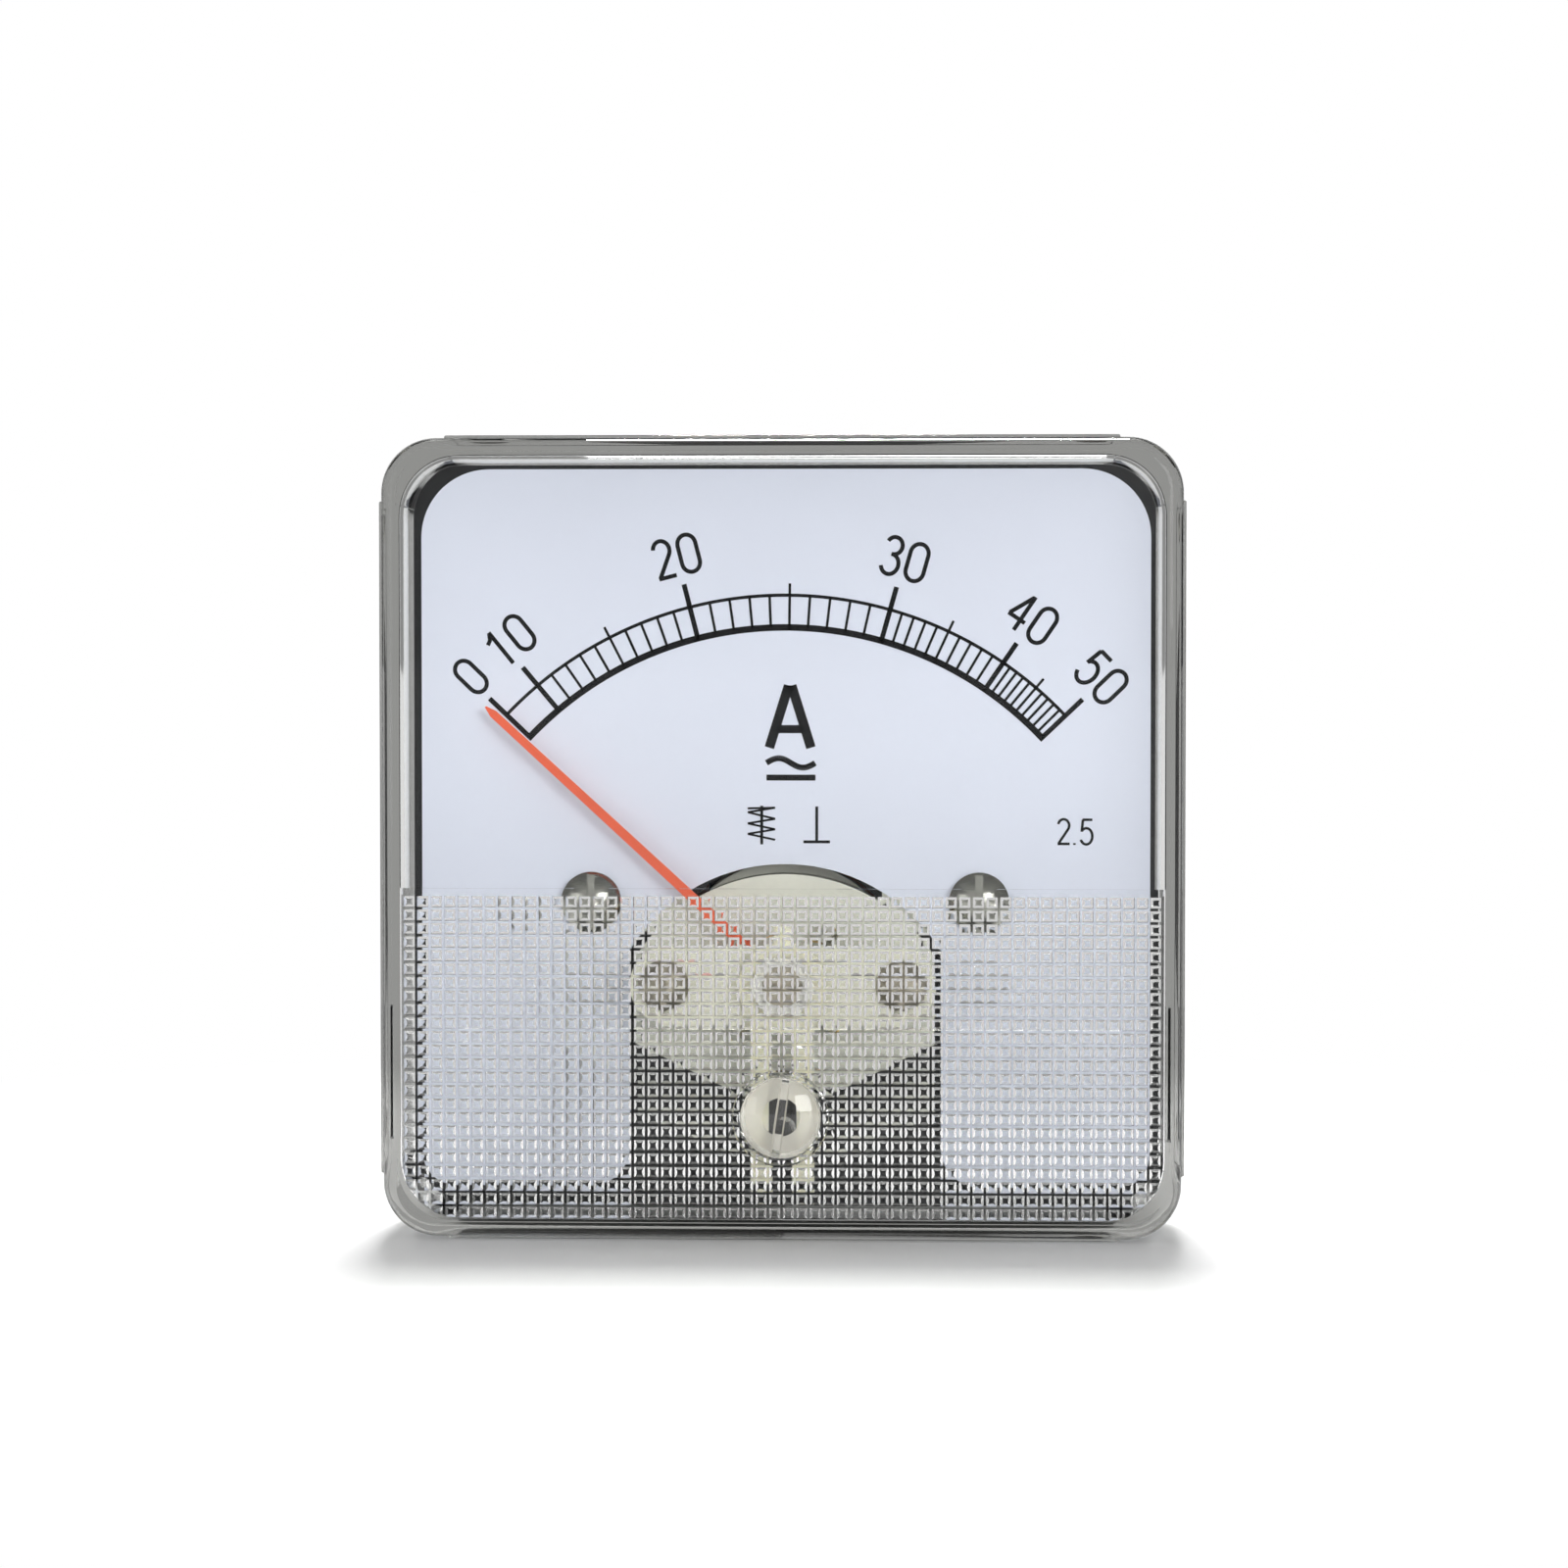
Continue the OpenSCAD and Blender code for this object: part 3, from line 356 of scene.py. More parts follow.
def outwards(bm):
    """Turns all faces outwards."""
    bmesh.ops.recalc_face_normals(bm, faces=bm.faces)
    return bm


def traced(name, lines, **settings):
    """A bmesh of a curve whose lines go through (x, y, z) points, closed where they meet."""
    curve = bpy.data.curves.new(name, "CURVE")
    for setting, value in settings.items():
        setattr(curve, setting, value)
    for points in lines:
        spline = curve.splines.new("POLY")
        spline.use_cyclic_u = points[0] == points[-1]
        if spline.use_cyclic_u:
            points = points[:-1]
        spline.points.add(len(points) - 1)
        for point, place in zip(spline.points, points):
            point.co = (*place, 1)
    return as_bmesh(in_scene(name, curve))


# ---------- shader helpers ----------


def feed(node, inputs):
    """Gives inputs of a node their plain values, or the output sockets that feed them."""
    for name, value in inputs.items():
        if isinstance(value, bpy.types.NodeSocket):
            node.id_data.links.new(value, node.inputs[name])
        else:
            node.inputs[name].default_value = value


def add_node(tree, kind, inputs=None, **settings):
    """Adds a shader node with its settings, and feeds its inputs."""
    node = tree.nodes.new(f"ShaderNode{kind}")
    for name, value in settings.items():
        setattr(node, name, value)
    feed(node, inputs or {})
    return node


def maths(tree, operation, first, second=0.0):
    """The result of a sum, held between 0 and 1."""
    node = add_node(tree, "Math", {0: first, 1: second}, operation=operation, use_clamp=True)
    return node.outputs["Value"]


def between(tree, share, low, high):
    """A value that goes from low to high as a share goes from 0 to 1."""
    node = add_node(tree, "MapRange", {"Value": share, "To Min": low, "To Max": high})
    return node.outputs["Result"]


def soft_step(tree, value, start, end):
    """A share that goes softly from 0 to 1 as a value goes from start to end."""
    inputs = {"Value": value, "From Min": start, "From Max": end}
    node = add_node(tree, "MapRange", inputs, interpolation_type="SMOOTHSTEP")
    return node.outputs["Result"]


def mixed(tree, share, first, second):
    """The first shader where a share is 0, and the second where it is 1."""
    return add_node(tree, "MixShader", {"Fac": share, 1: first, 2: second}).outputs["Shader"]


def new_material(name):
    """A material, its node tree and its Principled shader."""
    material = bpy.data.materials.new(name)
    material.use_nodes = True
    return material, material.node_tree, material.node_tree.nodes["Principled BSDF"]


def texture_group(name, inputs):
    """A node group with number inputs that puts out a tone and a normal, and its given values."""
    group = bpy.data.node_groups.new(name, "ShaderNodeTree")
    for label, value in inputs.items():
        socket = group.interface.new_socket(label, in_out="INPUT", socket_type="NodeSocketFloat")
        socket.default_value = value
    for label, kind in (("Tone", "NodeSocketFloat"), ("Normal", "NodeSocketVector")):
        group.interface.new_socket(label, in_out="OUTPUT", socket_type=kind)
    return group, group.nodes.new("NodeGroupInput").outputs


def put_out(group, tone, relief, strength):
    """Puts out a group's tone, and its relief as a bumped normal."""
    inputs = {"Distance": 0.02 * MM, "Height": relief, "Strength": strength}
    normal = add_node(group, "Bump", inputs).outputs["Normal"]
    feed(group.nodes.new("NodeGroupOutput"), {"Tone": tone, "Normal": normal})
    return group


def moulded_skin():
    """Fine grain with broad soft unevenness, for mouldings, enamel and paint."""
    if "Moulded skin" in bpy.data.node_groups:
        return bpy.data.node_groups["Moulded skin"]
    group, given = texture_group(
        "Moulded skin", {"Grain per metre": 3000.0, "Cloud per metre": 60.0, "Height": 0.1}
    )
    place = add_node(group, "TexCoord").outputs["Object"]
    grain, cloud = (
        add_node(group, "TexNoise", {"Vector": place, "Scale": given[scale], "Detail": detail})
        for scale, detail in (("Grain per metre", 4), ("Cloud per metre", 2))
    )
    relief = grain.outputs["Fac"]
    blend = add_node(group, "Mix", {"Factor": 0.6, "A": relief, "B": cloud.outputs["Fac"]})
    return put_out(group, blend.outputs["Result"], relief, given["Height"])


def tool_marks():
    """Fine rings round an axis along y, broken up by noise, for turned and plated metal."""
    if "Tool marks" in bpy.data.node_groups:
        return bpy.data.node_groups["Tool marks"]
    group, given = texture_group(
        "Tool marks", {"Rings per metre": 9000.0, "Height": 0.2, "Centre x": 0.0, "Centre z": 0.0}
    )
    place = add_node(group, "TexCoord").outputs["Object"]
    centre = add_node(group, "CombineXYZ", {"X": given["Centre x"], "Z": given["Centre z"]})
    shift = add_node(
        group, "VectorMath", {0: place, 1: centre.outputs["Vector"]}, operation="SUBTRACT"
    )
    rings = add_node(group, "TexWave", {
        "Vector": shift.outputs["Vector"], "Scale": given["Rings per metre"],
        "Distortion": 1.5, "Detail": 3,
    }, wave_type="RINGS", rings_direction="Y").outputs["Fac"]
    stains = add_node(group, "TexNoise", {"Vector": place, "Scale": 900}).outputs["Fac"]
    blend = add_node(group, "Mix", {"Factor": 0.5, "A": rings, "B": stains})
    return put_out(group, blend.outputs["Result"], rings, given["Height"])


# How far a surface's roughness strays from its mean.
ROUGH_SPREAD = 0.06


def surface(name, group, values, base, spread, rough, shader_values):
    """A Principled material whose tone, roughness and bump follow a node group."""
    material, tree, shader = new_material(name)
    texture = add_node(tree, "Group", values, node_tree=group)
    share = texture.outputs["Tone"]
    tone = add_node(tree, "ValToRGB", {"Fac": share})
    dark = [channel * (1 - spread) for channel in base]
    light = [min(1.0, channel * (1 + spread)) for channel in base]
    for stop, position, shade in zip(tone.color_ramp.elements, (0.3, 0.7), (dark, light)):
        stop.position = position
        stop.color = (*shade, 1)
    feed(shader, shader_values)
    feed(shader, {
        "Base Color": tone.outputs["Color"],
        "Roughness": between(tree, share, rough - ROUGH_SPREAD, rough + ROUGH_SPREAD),
        "Normal": texture.outputs["Normal"],
    })
    return material


def clear_finish(name, base, rough, specular, ior=1.49, takes=None, frost=0.0):
    """Clear moulding: takes is what a metre of it takes off, frost its share of matt white."""
    material, tree, shader = new_material(name)
    haze = add_node(
        tree, "Group", {"Grain per metre": 260, "Cloud per metre": 90}, node_tree=moulded_skin()
    ).outputs["Tone"]
    feed(shader, {
        "Base Color": (*base, 1), "Transmission Weight": 1, "IOR": ior,
        "Specular IOR Level": specular, "Specular Tint": (*[min(1.0, 2 * specular)] * 3, 1),
        "Roughness": between(tree, haze, rough * 0.5, rough * 1.5),
    })
    skin = shader.outputs["BSDF"]
    if frost:
        matt = add_node(tree, "BsdfDiffuse", {"Color": FROST_WHITE})
        share = between(tree, haze, frost * 0.5, frost * 1.5)
        skin = mixed(tree, share, skin, matt.outputs["BSDF"])
    shadow_ray = add_node(tree, "LightPath").outputs["Is Shadow Ray"]
    open_way = add_node(tree, "BsdfTransparent", {"Color": (*base, 1)}).outputs["BSDF"]
    output = tree.nodes["Material Output"]
    feed(output, {"Surface": mixed(tree, shadow_ray, skin, open_way)})
    if takes:
        density = max(takes) * 2
        tint = (*[1 - part / density for part in takes], 1)
        depth = add_node(tree, "VolumeAbsorption", {"Density": density, "Color": tint})
        feed(output, {"Volume": depth.outputs["Volume"]})
    return material


def moulding(name, base, rough, grain=3000.0, height=0.25, spread=0.05, shader=None):
    """Moulded, enamelled or painted surface; grain is per metre."""
    values = {"Grain per metre": grain, "Cloud per metre": 80.0, "Height": height}
    return surface(name, moulded_skin(), values, base, spread, rough, shader or {})


def metal(name, base, rough, rings=9000.0, height=0.2, spread=0.08, centre=(0.0, 0.0)):
    """Turned, drawn or plated metal; rings are per metre, round a centre (x, z)."""
    x, z = centre
    values = {"Rings per metre": rings, "Height": height, "Centre x": x, "Centre z": z}
    return surface(name, tool_marks(), values, base, spread, rough, {"Metallic": 1.0})


def dress(material, *names):
    """Gives CAD nodes their material."""
    for name in names:
        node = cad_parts[name]
        node.data.materials.clear()
        node.data.materials.append(material)
        node.data.shade_smooth()


# ---------- cover and adjuster ----------

# Room round the knob's shank and behind its head, and round the head.
KNOB_PLAY, SEAT_PLAY = 0.05 * MM, 0.15 * MM
# How far parts of one moulding run into each other before they are united.
LAP = 0.5 * MM
LAND_EDGE = 0.12 * MM
COLLAR_WIDTH, COLLAR_STRAIGHT, COLLAR_CHAMFER = 0.6 * MM, 0.35 * MM, 0.15 * MM
BOSS_HEIGHT = 0.8 * MM
SNAP_ROOM, SNAP_WIDTH, SNAP_HEIGHT = 0.85 * MM, 0.5 * MM, 0.45 * MM
PIN_OFFSET, PIN_RADIUS = MM, 0.6 * MM
SLOT_TURN = math.radians(8)


def pyramid_window(half, sizes):
    """Slab with a field of square truncated pyramids on its inner face."""
    start_y = COVER_LOW.y + sizes.collar + sizes.front
    pitch = sizes.pitch
    top = sizes.window_top - pitch / 2
    columns, rows = 2 * math.ceil(half / pitch), math.ceil((half + top) / pitch)
    bm = bmesh.new()
    bmesh.ops.create_grid(bm, x_segments=columns, y_segments=rows, size=0.5)
    field = Matrix.Translation((0, start_y, top - rows * pitch / 2))
    field @= Matrix.Rotation(-math.pi / 2, 4, "X")
    field @= Matrix.Diagonal((columns * pitch, rows * pitch, 1, 1))
    bmesh.ops.transform(bm, matrix=field, verts=bm.verts)
    back = list(bm.faces)
    raised = bmesh.ops.extrude_face_region(bm, geom=back, use_keep_orig=True)["geom"]
    cells = [item for item in raised if isinstance(item, bmesh.types.BMFace)]
    raised_verts = [item for item in raised if isinstance(item, bmesh.types.BMVert)]
    bmesh.ops.translate(bm, verts=raised_verts, vec=(0, sizes.window_pad, 0))
    bmesh.ops.dissolve_faces(bm, faces=back)
    outwards(bm)
    for width, height in ((sizes.groove / 2, 0), (sizes.slope, sizes.slope)):
        bmesh.ops.inset_individual(
            bm, faces=cells, thickness=width, depth=height, use_even_offset=True
        )
    tips = list({vert for cell in cells for vert in cell.verts})
    bmesh.ops.bevel(
        bm, geom=tips, offset=sizes.tip_corner, offset_type="OFFSET", affect="VERTICES",
        segments=1, profile=0.5, material=-1, clamp_overlap=True,
    )
    return bm


def frost_faces(bm, test):
    """Gives the second material to the faces that pass a test."""
    bm.normal_update()
    for face in bm.faces:
        face.material_index = 1 if test(face.normal, face.calc_center_median()) else 0
    return bm


def clip(bm, point, normal):
    """Cuts a closed bmesh by a plane and keeps the side that the normal points to."""
    geom = list(bm.verts) + list(bm.edges) + list(bm.faces)
    result = bmesh.ops.bisect_plane(
        bm, geom=geom, dist=SAME_POINT, plane_co=point, plane_no=normal, clear_inner=True
    )
    rim = [e for e in result["geom_cut"] if isinstance(e, bmesh.types.BMEdge)]
    bmesh.ops.contextual_create(bm, geom=rim)
    return outwards(bm)


def side_lands(sizes, outside, face, back):
    """Four thin blocks, one on each side, that stand out from the corners."""
    lands = []
    half = sizes.land_length / 2
    for quarter in range(4):
        land = box((outside - sizes.wall / 2, face + sizes.edge, -half), (outside, back, half))
        outer = [e for f in land.faces if f.normal.x > 0.9 for e in f.edges]
        bevel(land, outer, LAND_EDGE, 3)
        lands.append((rotate(land, quarter * TURN / 4), "UNION"))
    return lands


def latch_pockets(sizes, outside, back):
    """Room in the side walls for the base's two latches."""
    pockets = []
    for side in (-1, 1):
        low_z, high_z = (sizes.latch_middle + way * sizes.latch_half for way in (-1, 1))
        latch = box((outside - sizes.wall - LAP, back - sizes.latch_high, low_z),
                    (outside - sizes.wall + sizes.latch_depth, back - sizes.latch_low, high_z))
        bmesh.ops.scale(latch, verts=latch.verts, vec=(side, 1, 1))
        pockets.append((outwards(latch), "DIFFERENCE"))
    return pockets


def build_cover(sizes, knob):
    """Clear shell with a thicker textured window, side lands, latch pockets and a collared hole."""
    outside = (COVER_HIGH.x - COVER_LOW.x) / 2
    inside = outside - sizes.wall
    face = COVER_LOW.y + sizes.collar
    inner_face = face + sizes.front
    back = COVER_HIGH.y
    past = back + sizes.wall
    step, above_step = (0, 0, sizes.window_top), (0, 0, sizes.window_top + 0.01 * MM)
    upper = rounded_block(inside, sizes.inner_corner, sizes.inner_edge, inner_face, past, 16)
    lower_face = inner_face + sizes.window_pad - 0.05 * MM
    lower = rounded_block(inside, sizes.inner_corner, sizes.window_edge, lower_face, past, 3)
    collar_r = knob.head + COLLAR_WIDTH
    collar = turned(ADJUSTER_Z, [
        (0, face + LAP), (collar_r, face + LAP), (collar_r, face - COLLAR_STRAIGHT),
        (collar_r - COLLAR_CHAMFER, face - sizes.collar), (0, face - sizes.collar),
    ])
    boss = bar(ADJUSTER_Z, inner_face - 0.2 * MM, inner_face + BOSS_HEIGHT, 2 * knob.shank, 68)
    seat_r = knob.head + SEAT_PLAY
    seat = bar(ADJUSTER_Z, face - 2 * MM, face + sizes.front / 2, seat_r, 86)
    bore = bar(ADJUSTER_Z, face, past, knob.shank + KNOB_PLAY, 62)
    trim = rounded_block(
        inside + 0.6 * MM, sizes.corner + 0.2 * MM, 0.1 * MM, inner_face - LAP,
        inner_face + 3 * MM, 1,
    )
    steps = [
        (clip(upper, step, (0, 0, 1)), "DIFFERENCE"),
        (clip(lower, above_step, (0, 0, -1)), "DIFFERENCE"),
        (cut(pyramid_window(inside, sizes), [(trim, "INTERSECT")]), "UNION"),
    ]
    steps += side_lands(sizes, outside, face, back)
    steps += [(collar, "UNION"), (boss, "UNION"), (seat, "DIFFERENCE"), (bore, "DIFFERENCE")]
    steps += latch_pockets(sizes, outside, back)
    shell = rounded_block(outside - sizes.land, sizes.corner, sizes.edge, face, back, 10)
    return cut(shell, steps)


def build_adjuster(sizes, cover):
    """Clear knob: domed and slotted head, shank, snap ring and eccentric pin."""
    low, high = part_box("zero_adjuster")
    face = COVER_LOW.y + cover.collar
    rim = low.y + sizes.dome
    seat = face + cover.front / 2 - KNOB_PLAY
    snap = face + cover.front + SNAP_ROOM
    snap_end = snap + SNAP_WIDTH
    snap_r = sizes.shank + SNAP_HEIGHT
    dome_r = (sizes.head**2 + sizes.dome**2) / (2 * sizes.dome)
    spread = math.degrees(math.asin(sizes.head / dome_r))
    dome = [(u, v) for v, u in arc(dome_r, 180, 180 - spread * 0.94, 14, (low.y + dome_r, 0))]
    profile = dome + [
        (sizes.head, rim + 0.12 * MM), (sizes.head, seat - sizes.chamfer),
        (sizes.head - sizes.chamfer, seat), (sizes.shank, seat), (sizes.shank, snap),
        (snap_r, snap), (snap_r, snap_end), (0, snap_end),
    ]
    knob = turned(ADJUSTER_Z, profile)
    half, reach = sizes.slot / 2, sizes.head * 1.2
    slot = box((-half, low.y - MM, -reach), (half, rim + sizes.slot_depth, reach))
    floor = [v for v in slot.verts if v.co.y > rim]
    bmesh.ops.scale(slot, verts=floor, vec=(sizes.slot_taper, 1, 1))
    move(rotate(slot, SLOT_TURN), 0, 0, ADJUSTER_Z)
    pin = bar(ADJUSTER_Z - PIN_OFFSET, snap + SNAP_WIDTH / 2, high.y, PIN_RADIUS, 32)

    def frosted(normal, at):
        underside = normal.y > 0.9 and at.y < seat + KNOB_PLAY
        in_slot = abs(at.x) < sizes.slot and at.y < rim + sizes.slot_depth
        return underside or (abs(normal.x) > 0.5 and in_slot)

    return frost_faces(cut(knob, [(slot, "DIFFERENCE"), (pin, "UNION")]), frosted)


class METER_OT_cover(bpy.types.Operator):
    """Moulds the clear cover with its textured lower window, and the clear adjuster knob"""

    bl_idname = "meter.cover"
    bl_label = "Cover and adjuster"

    def execute(self, context):
        tint = chosen("finishes").clear
        clear = clear_finish("Clear moulding", tint, rough=0.02, specular=0.1, takes=CLEAR_TAKES)
        bm = build_cover(chosen("cover"), chosen("adjuster"))
        cover = finished("clear_cover", bm, clear, "housing", 28, weighted=True)
        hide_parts("front_cover")
        both = {"specular": 0.5, "takes": KNOB_TAKES}
        clear = clear_finish("Clear knob", tint, rough=0.03, **both)
        bm = build_adjuster(chosen("adjuster"), chosen("cover"))
        knob = finished("adjuster_knob", bm, clear, "adjuster", 28, weighted=True)
        frosted = clear_finish("Frosted knob", tint, rough=0.2, frost=0.6, **both)
        knob.data.materials.append(frosted)
        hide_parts("zero_adjuster")
        return {"FINISHED"}


# ---------- dial ----------

# The scale is not linear: each main mark has its value and its angle from the vertical.
MAIN_MARKS = {0: -46.4, 10: -40.0, 15: -27.1, 20: -14.3, 25: 0.7, 30: 15.8, 35: 25.05,
              40: 34.4, 45: 40.5, 50: 46.5}
NUMERAL_ANGLES = {0: -46.0, 10: -39.1, 20: -14.4, 30: 15.8, 40: 34.2, 50: 46.1}
# The accuracy class, low on the right: height, pen width and centre (x, z).
CLASS_HEIGHT, CLASS_STROKE, CLASS_PLACE = 2.0 * MM, 0.2 * MM, (22.1 * MM, 0.2 * MM)


def on_dial(angle, radius):
    """A point (x, z) on the dial by its angle from the vertical, in degrees, and its radius."""
    a = math.radians(angle)
    return radius * math.sin(a), AXIS_Z + radius * math.cos(a)


def on_face(x, z, angle, scale):
    """Matrix that puts ink on the dial at (x, z), turned by an angle in radians and scaled."""
    place = Matrix.Translation((x, DIAL_LOW.y - chosen("dial").ink / 2, z))
    return place @ Matrix.Rotation(angle, 4, "Y") @ scale


def ink_bar(start, end, width):
    """Flat line of ink between two points (x, z)."""
    along = Vector(end) - Vector(start)
    x, z = (Vector(start) + Vector(end)) / 2
    scale = Matrix.Diagonal((width, chosen("dial").ink, along.length, 1))
    bm = bmesh.new()
    place = on_face(x, z, math.atan2(along.x, along.y), scale)
    bmesh.ops.create_cube(bm, size=1, matrix=place)
    return bm


def ink_arc(radius, width, start, end):
    """Flat arc of ink between two dial angles."""
    scale = Matrix.Diagonal((width, chosen("dial").ink, 1, 1))
    scale = Matrix.Rotation(math.pi / 2, 4, "Y") @ scale
    place = on_face(*on_dial(start, radius), math.radians(start), scale)
    bm = bmesh.new()
    bmesh.ops.create_grid(bm, x_segments=1, y_segments=1, size=0.5, matrix=place)
    bmesh.ops.spin(
        bm, geom=list(bm.faces), cent=(0, 0, AXIS_Z), axis=(0, 1, 0),
        angle=math.radians(end - start), steps=96, use_merge=False, use_duplicate=False,
    )
    bmesh.ops.holes_fill(bm, edges=bm.edges, sides=4)
    return outwards(bm)


def scale_marks(sizes):
    """Two arcs, long ticks at the tens, middle ticks at the fives and thin ticks at each ampere."""
    ends = MAIN_MARKS[0], MAIN_MARKS[50]
    parts = [ink_arc(sizes.inner_arc, sizes.inner_arc_width, *ends),
             ink_arc(sizes.outer_arc, sizes.outer_arc_width, *ends)]
    start = sizes.inner_arc - sizes.inner_arc_width / 2
    values = sorted(MAIN_MARKS)
    for value, following in zip(values, values[1:] + values[-1:]):
        angle = MAIN_MARKS[value]
        tens = value % 10 == 0
        end, width = (sizes.long_tick, sizes.thick) if tens else (sizes.mid_tick, sizes.thin)
        parts.append(ink_bar(on_dial(angle, start), on_dial(angle, end), width))
        amperes = following - value if value else 0
        for count in range(1, amperes):
            tick = angle + (MAIN_MARKS[following] - angle) / amperes * count
            inner, outer = on_dial(tick, sizes.inner_arc), on_dial(tick, sizes.outer_arc)
            parts.append(ink_bar(inner, outer, sizes.thin))
    return parts


def digit_strokes(digit):
    """Centre lines of a digit, in a box half as wide as it is high, from (0, 0) to (0.5, 1)."""
    def curve(radius_x, radius_z, start, end, at, count=20):
        points = arc(1, start, end, count)
        return [(at[0] + radius_x * u, at[1] + radius_z * v) for u, v in points]

    zero_top = curve(0.23, 0.25, 0, 180, (0.25, 0.73))
    zero_low = curve(0.23, 0.25, 180, 360, (0.25, 0.27))
    strokes = {
        "0": [zero_top + zero_low + zero_top[:1]],
        "1": [[(0.08, 0.76), (0.20, 0.82), (0.30, 0.98)], [(0.30, 1.0), (0.30, 0.0)]],
        "2": [curve(0.21, 0.24, 168, -38, (0.25, 0.74)) + [(0.05, 0.04)],
              [(0.02, 0.04), (0.48, 0.04)]],
        "3": [curve(0.20, 0.22, 160, -98, (0.25, 0.76)),
              curve(0.22, 0.26, 96, -160, (0.25, 0.28))],
        "4": [[(0.36, 0.0), (0.36, 1.0)], [(0.34, 0.97), (0.03, 0.32)],
              [(0.0, 0.30), (0.50, 0.30)]],
        "5": [[(0.46, 0.96), (0.09, 0.96)], [(0.10, 0.96), (0.06, 0.50)],
              curve(0.23, 0.31, 135, -155, (0.23, 0.33), 24)],
        ".": [[(0.0, 0.0), (0.0, 0.07)]],
    }
    return strokes[digit]


# Shares of a digit's height: its width, and how far the pen moves on after it or after a point.
DIGIT_WIDTH, DIGIT_ADVANCE, POINT_ADVANCE = 0.5, 0.66, 0.22


def lettering(text, height, stroke, centre, angle=0.0):
    """Numerals drawn with a pen of even width, turned by a dial angle about their centre."""
    widths = [POINT_ADVANCE if letter == "." else DIGIT_ADVANCE for letter in text]
    at = -(sum(widths) - (DIGIT_ADVANCE - DIGIT_WIDTH)) / 2
    lines = []
    for letter, width in zip(text, widths):
        for stroke_points in digit_strokes(letter):
            lines.append([((at + u) * height, 0, (v - 0.5) * height) for u, v in stroke_points])
        at += width
    bm = traced("numerals", lines, dimensions="3D", bevel_depth=stroke / 2, bevel_resolution=2,
                use_fill_caps=True)
    bmesh.ops.remove_doubles(bm, verts=bm.verts, dist=SAME_POINT)
    flat = Matrix.Diagonal((1, chosen("dial").ink / stroke, 1, 1))
    place = on_face(*centre, math.radians(angle), flat)
    bmesh.ops.transform(bm, matrix=place, verts=bm.verts)
    return bm


def ink_path(points, width):
    """Flat lines of ink from point to point, in mm."""
    scaled = [(x * MM, z * MM) for x, z in points]
    return [ink_bar(start, end, width) for start, end in zip(scaled, scaled[1:])]


def unit_signs():
    """The unit A, the sign for direct and alternating current, and the two small type signs."""
    heavy, cross, serif, pen = 0.74 * MM, 0.62 * MM, 0.46 * MM, 0.45 * MM
    fine, finest = 0.22 * MM, 0.16 * MM
    wave = [(-1.42 + 3.72 * i / 24, 5.42 + 0.36 * math.sin(TURN * i / 24)) for i in range(25)]
    zigzag = [(-2.85, 1.95), (-0.75, 2.0), (-2.85, 1.65), (-0.75, 1.15), (-2.85, 0.8),
              (-0.75, 0.35), (-2.85, 0.0), (-0.75, -0.45)]
    lines = [
        ([(-1.20, 6.58), (0.28, 11.32)], heavy), ([(0.50, 11.32), (1.98, 6.58)], heavy),
        ([(-0.62, 8.0), (1.40, 8.0)], cross), ([(0.02, 11.1), (0.76, 11.1)], serif),
        (wave, pen), ([(-1.42, 4.30), (2.32, 4.30)], pen),
        (zigzag, finest), ([(-1.78, 2.15), (-1.78, -0.8)], fine),
        ([(2.42, 2.1), (2.42, -0.6)], fine), ([(1.40, -0.6), (3.44, -0.6)], fine),
    ]
    return [line for points, width in lines for line in ink_path(points, width)]


class METER_OT_dial(bpy.types.Operator):
    """Enamels the dial and prints its scale, numerals and signs"""

    bl_idname = "meter.dial"
    bl_label = "Dial and print"

    def execute(self, context):
        sizes, colours = chosen("dial"), chosen("finishes")
        enamel = moulding("Dial enamel", colours.dial, 0.35, grain=2500, height=0.05, spread=0.012)
        dress(enamel, "dial_plate")
        parts = scale_marks(sizes) + unit_signs()
        for value, angle in NUMERAL_ANGLES.items():
            centre = on_dial(angle, sizes.numeral_radius)
            parts.append(lettering(
                str(value), sizes.numeral_height, sizes.numeral_stroke, centre, angle
            ))
        parts.append(lettering("2.5", CLASS_HEIGHT, CLASS_STROKE, CLASS_PLACE))
        ink = moulding("Printing ink", colours.ink, 0.6, grain=4000, height=0.1, spread=0.1,
                       shader={"Specular IOR Level": 0.15})
        finished("dial_print", joined(*parts), ink, "housing")
        return {"FINISHED"}


# ---------- movement ----------


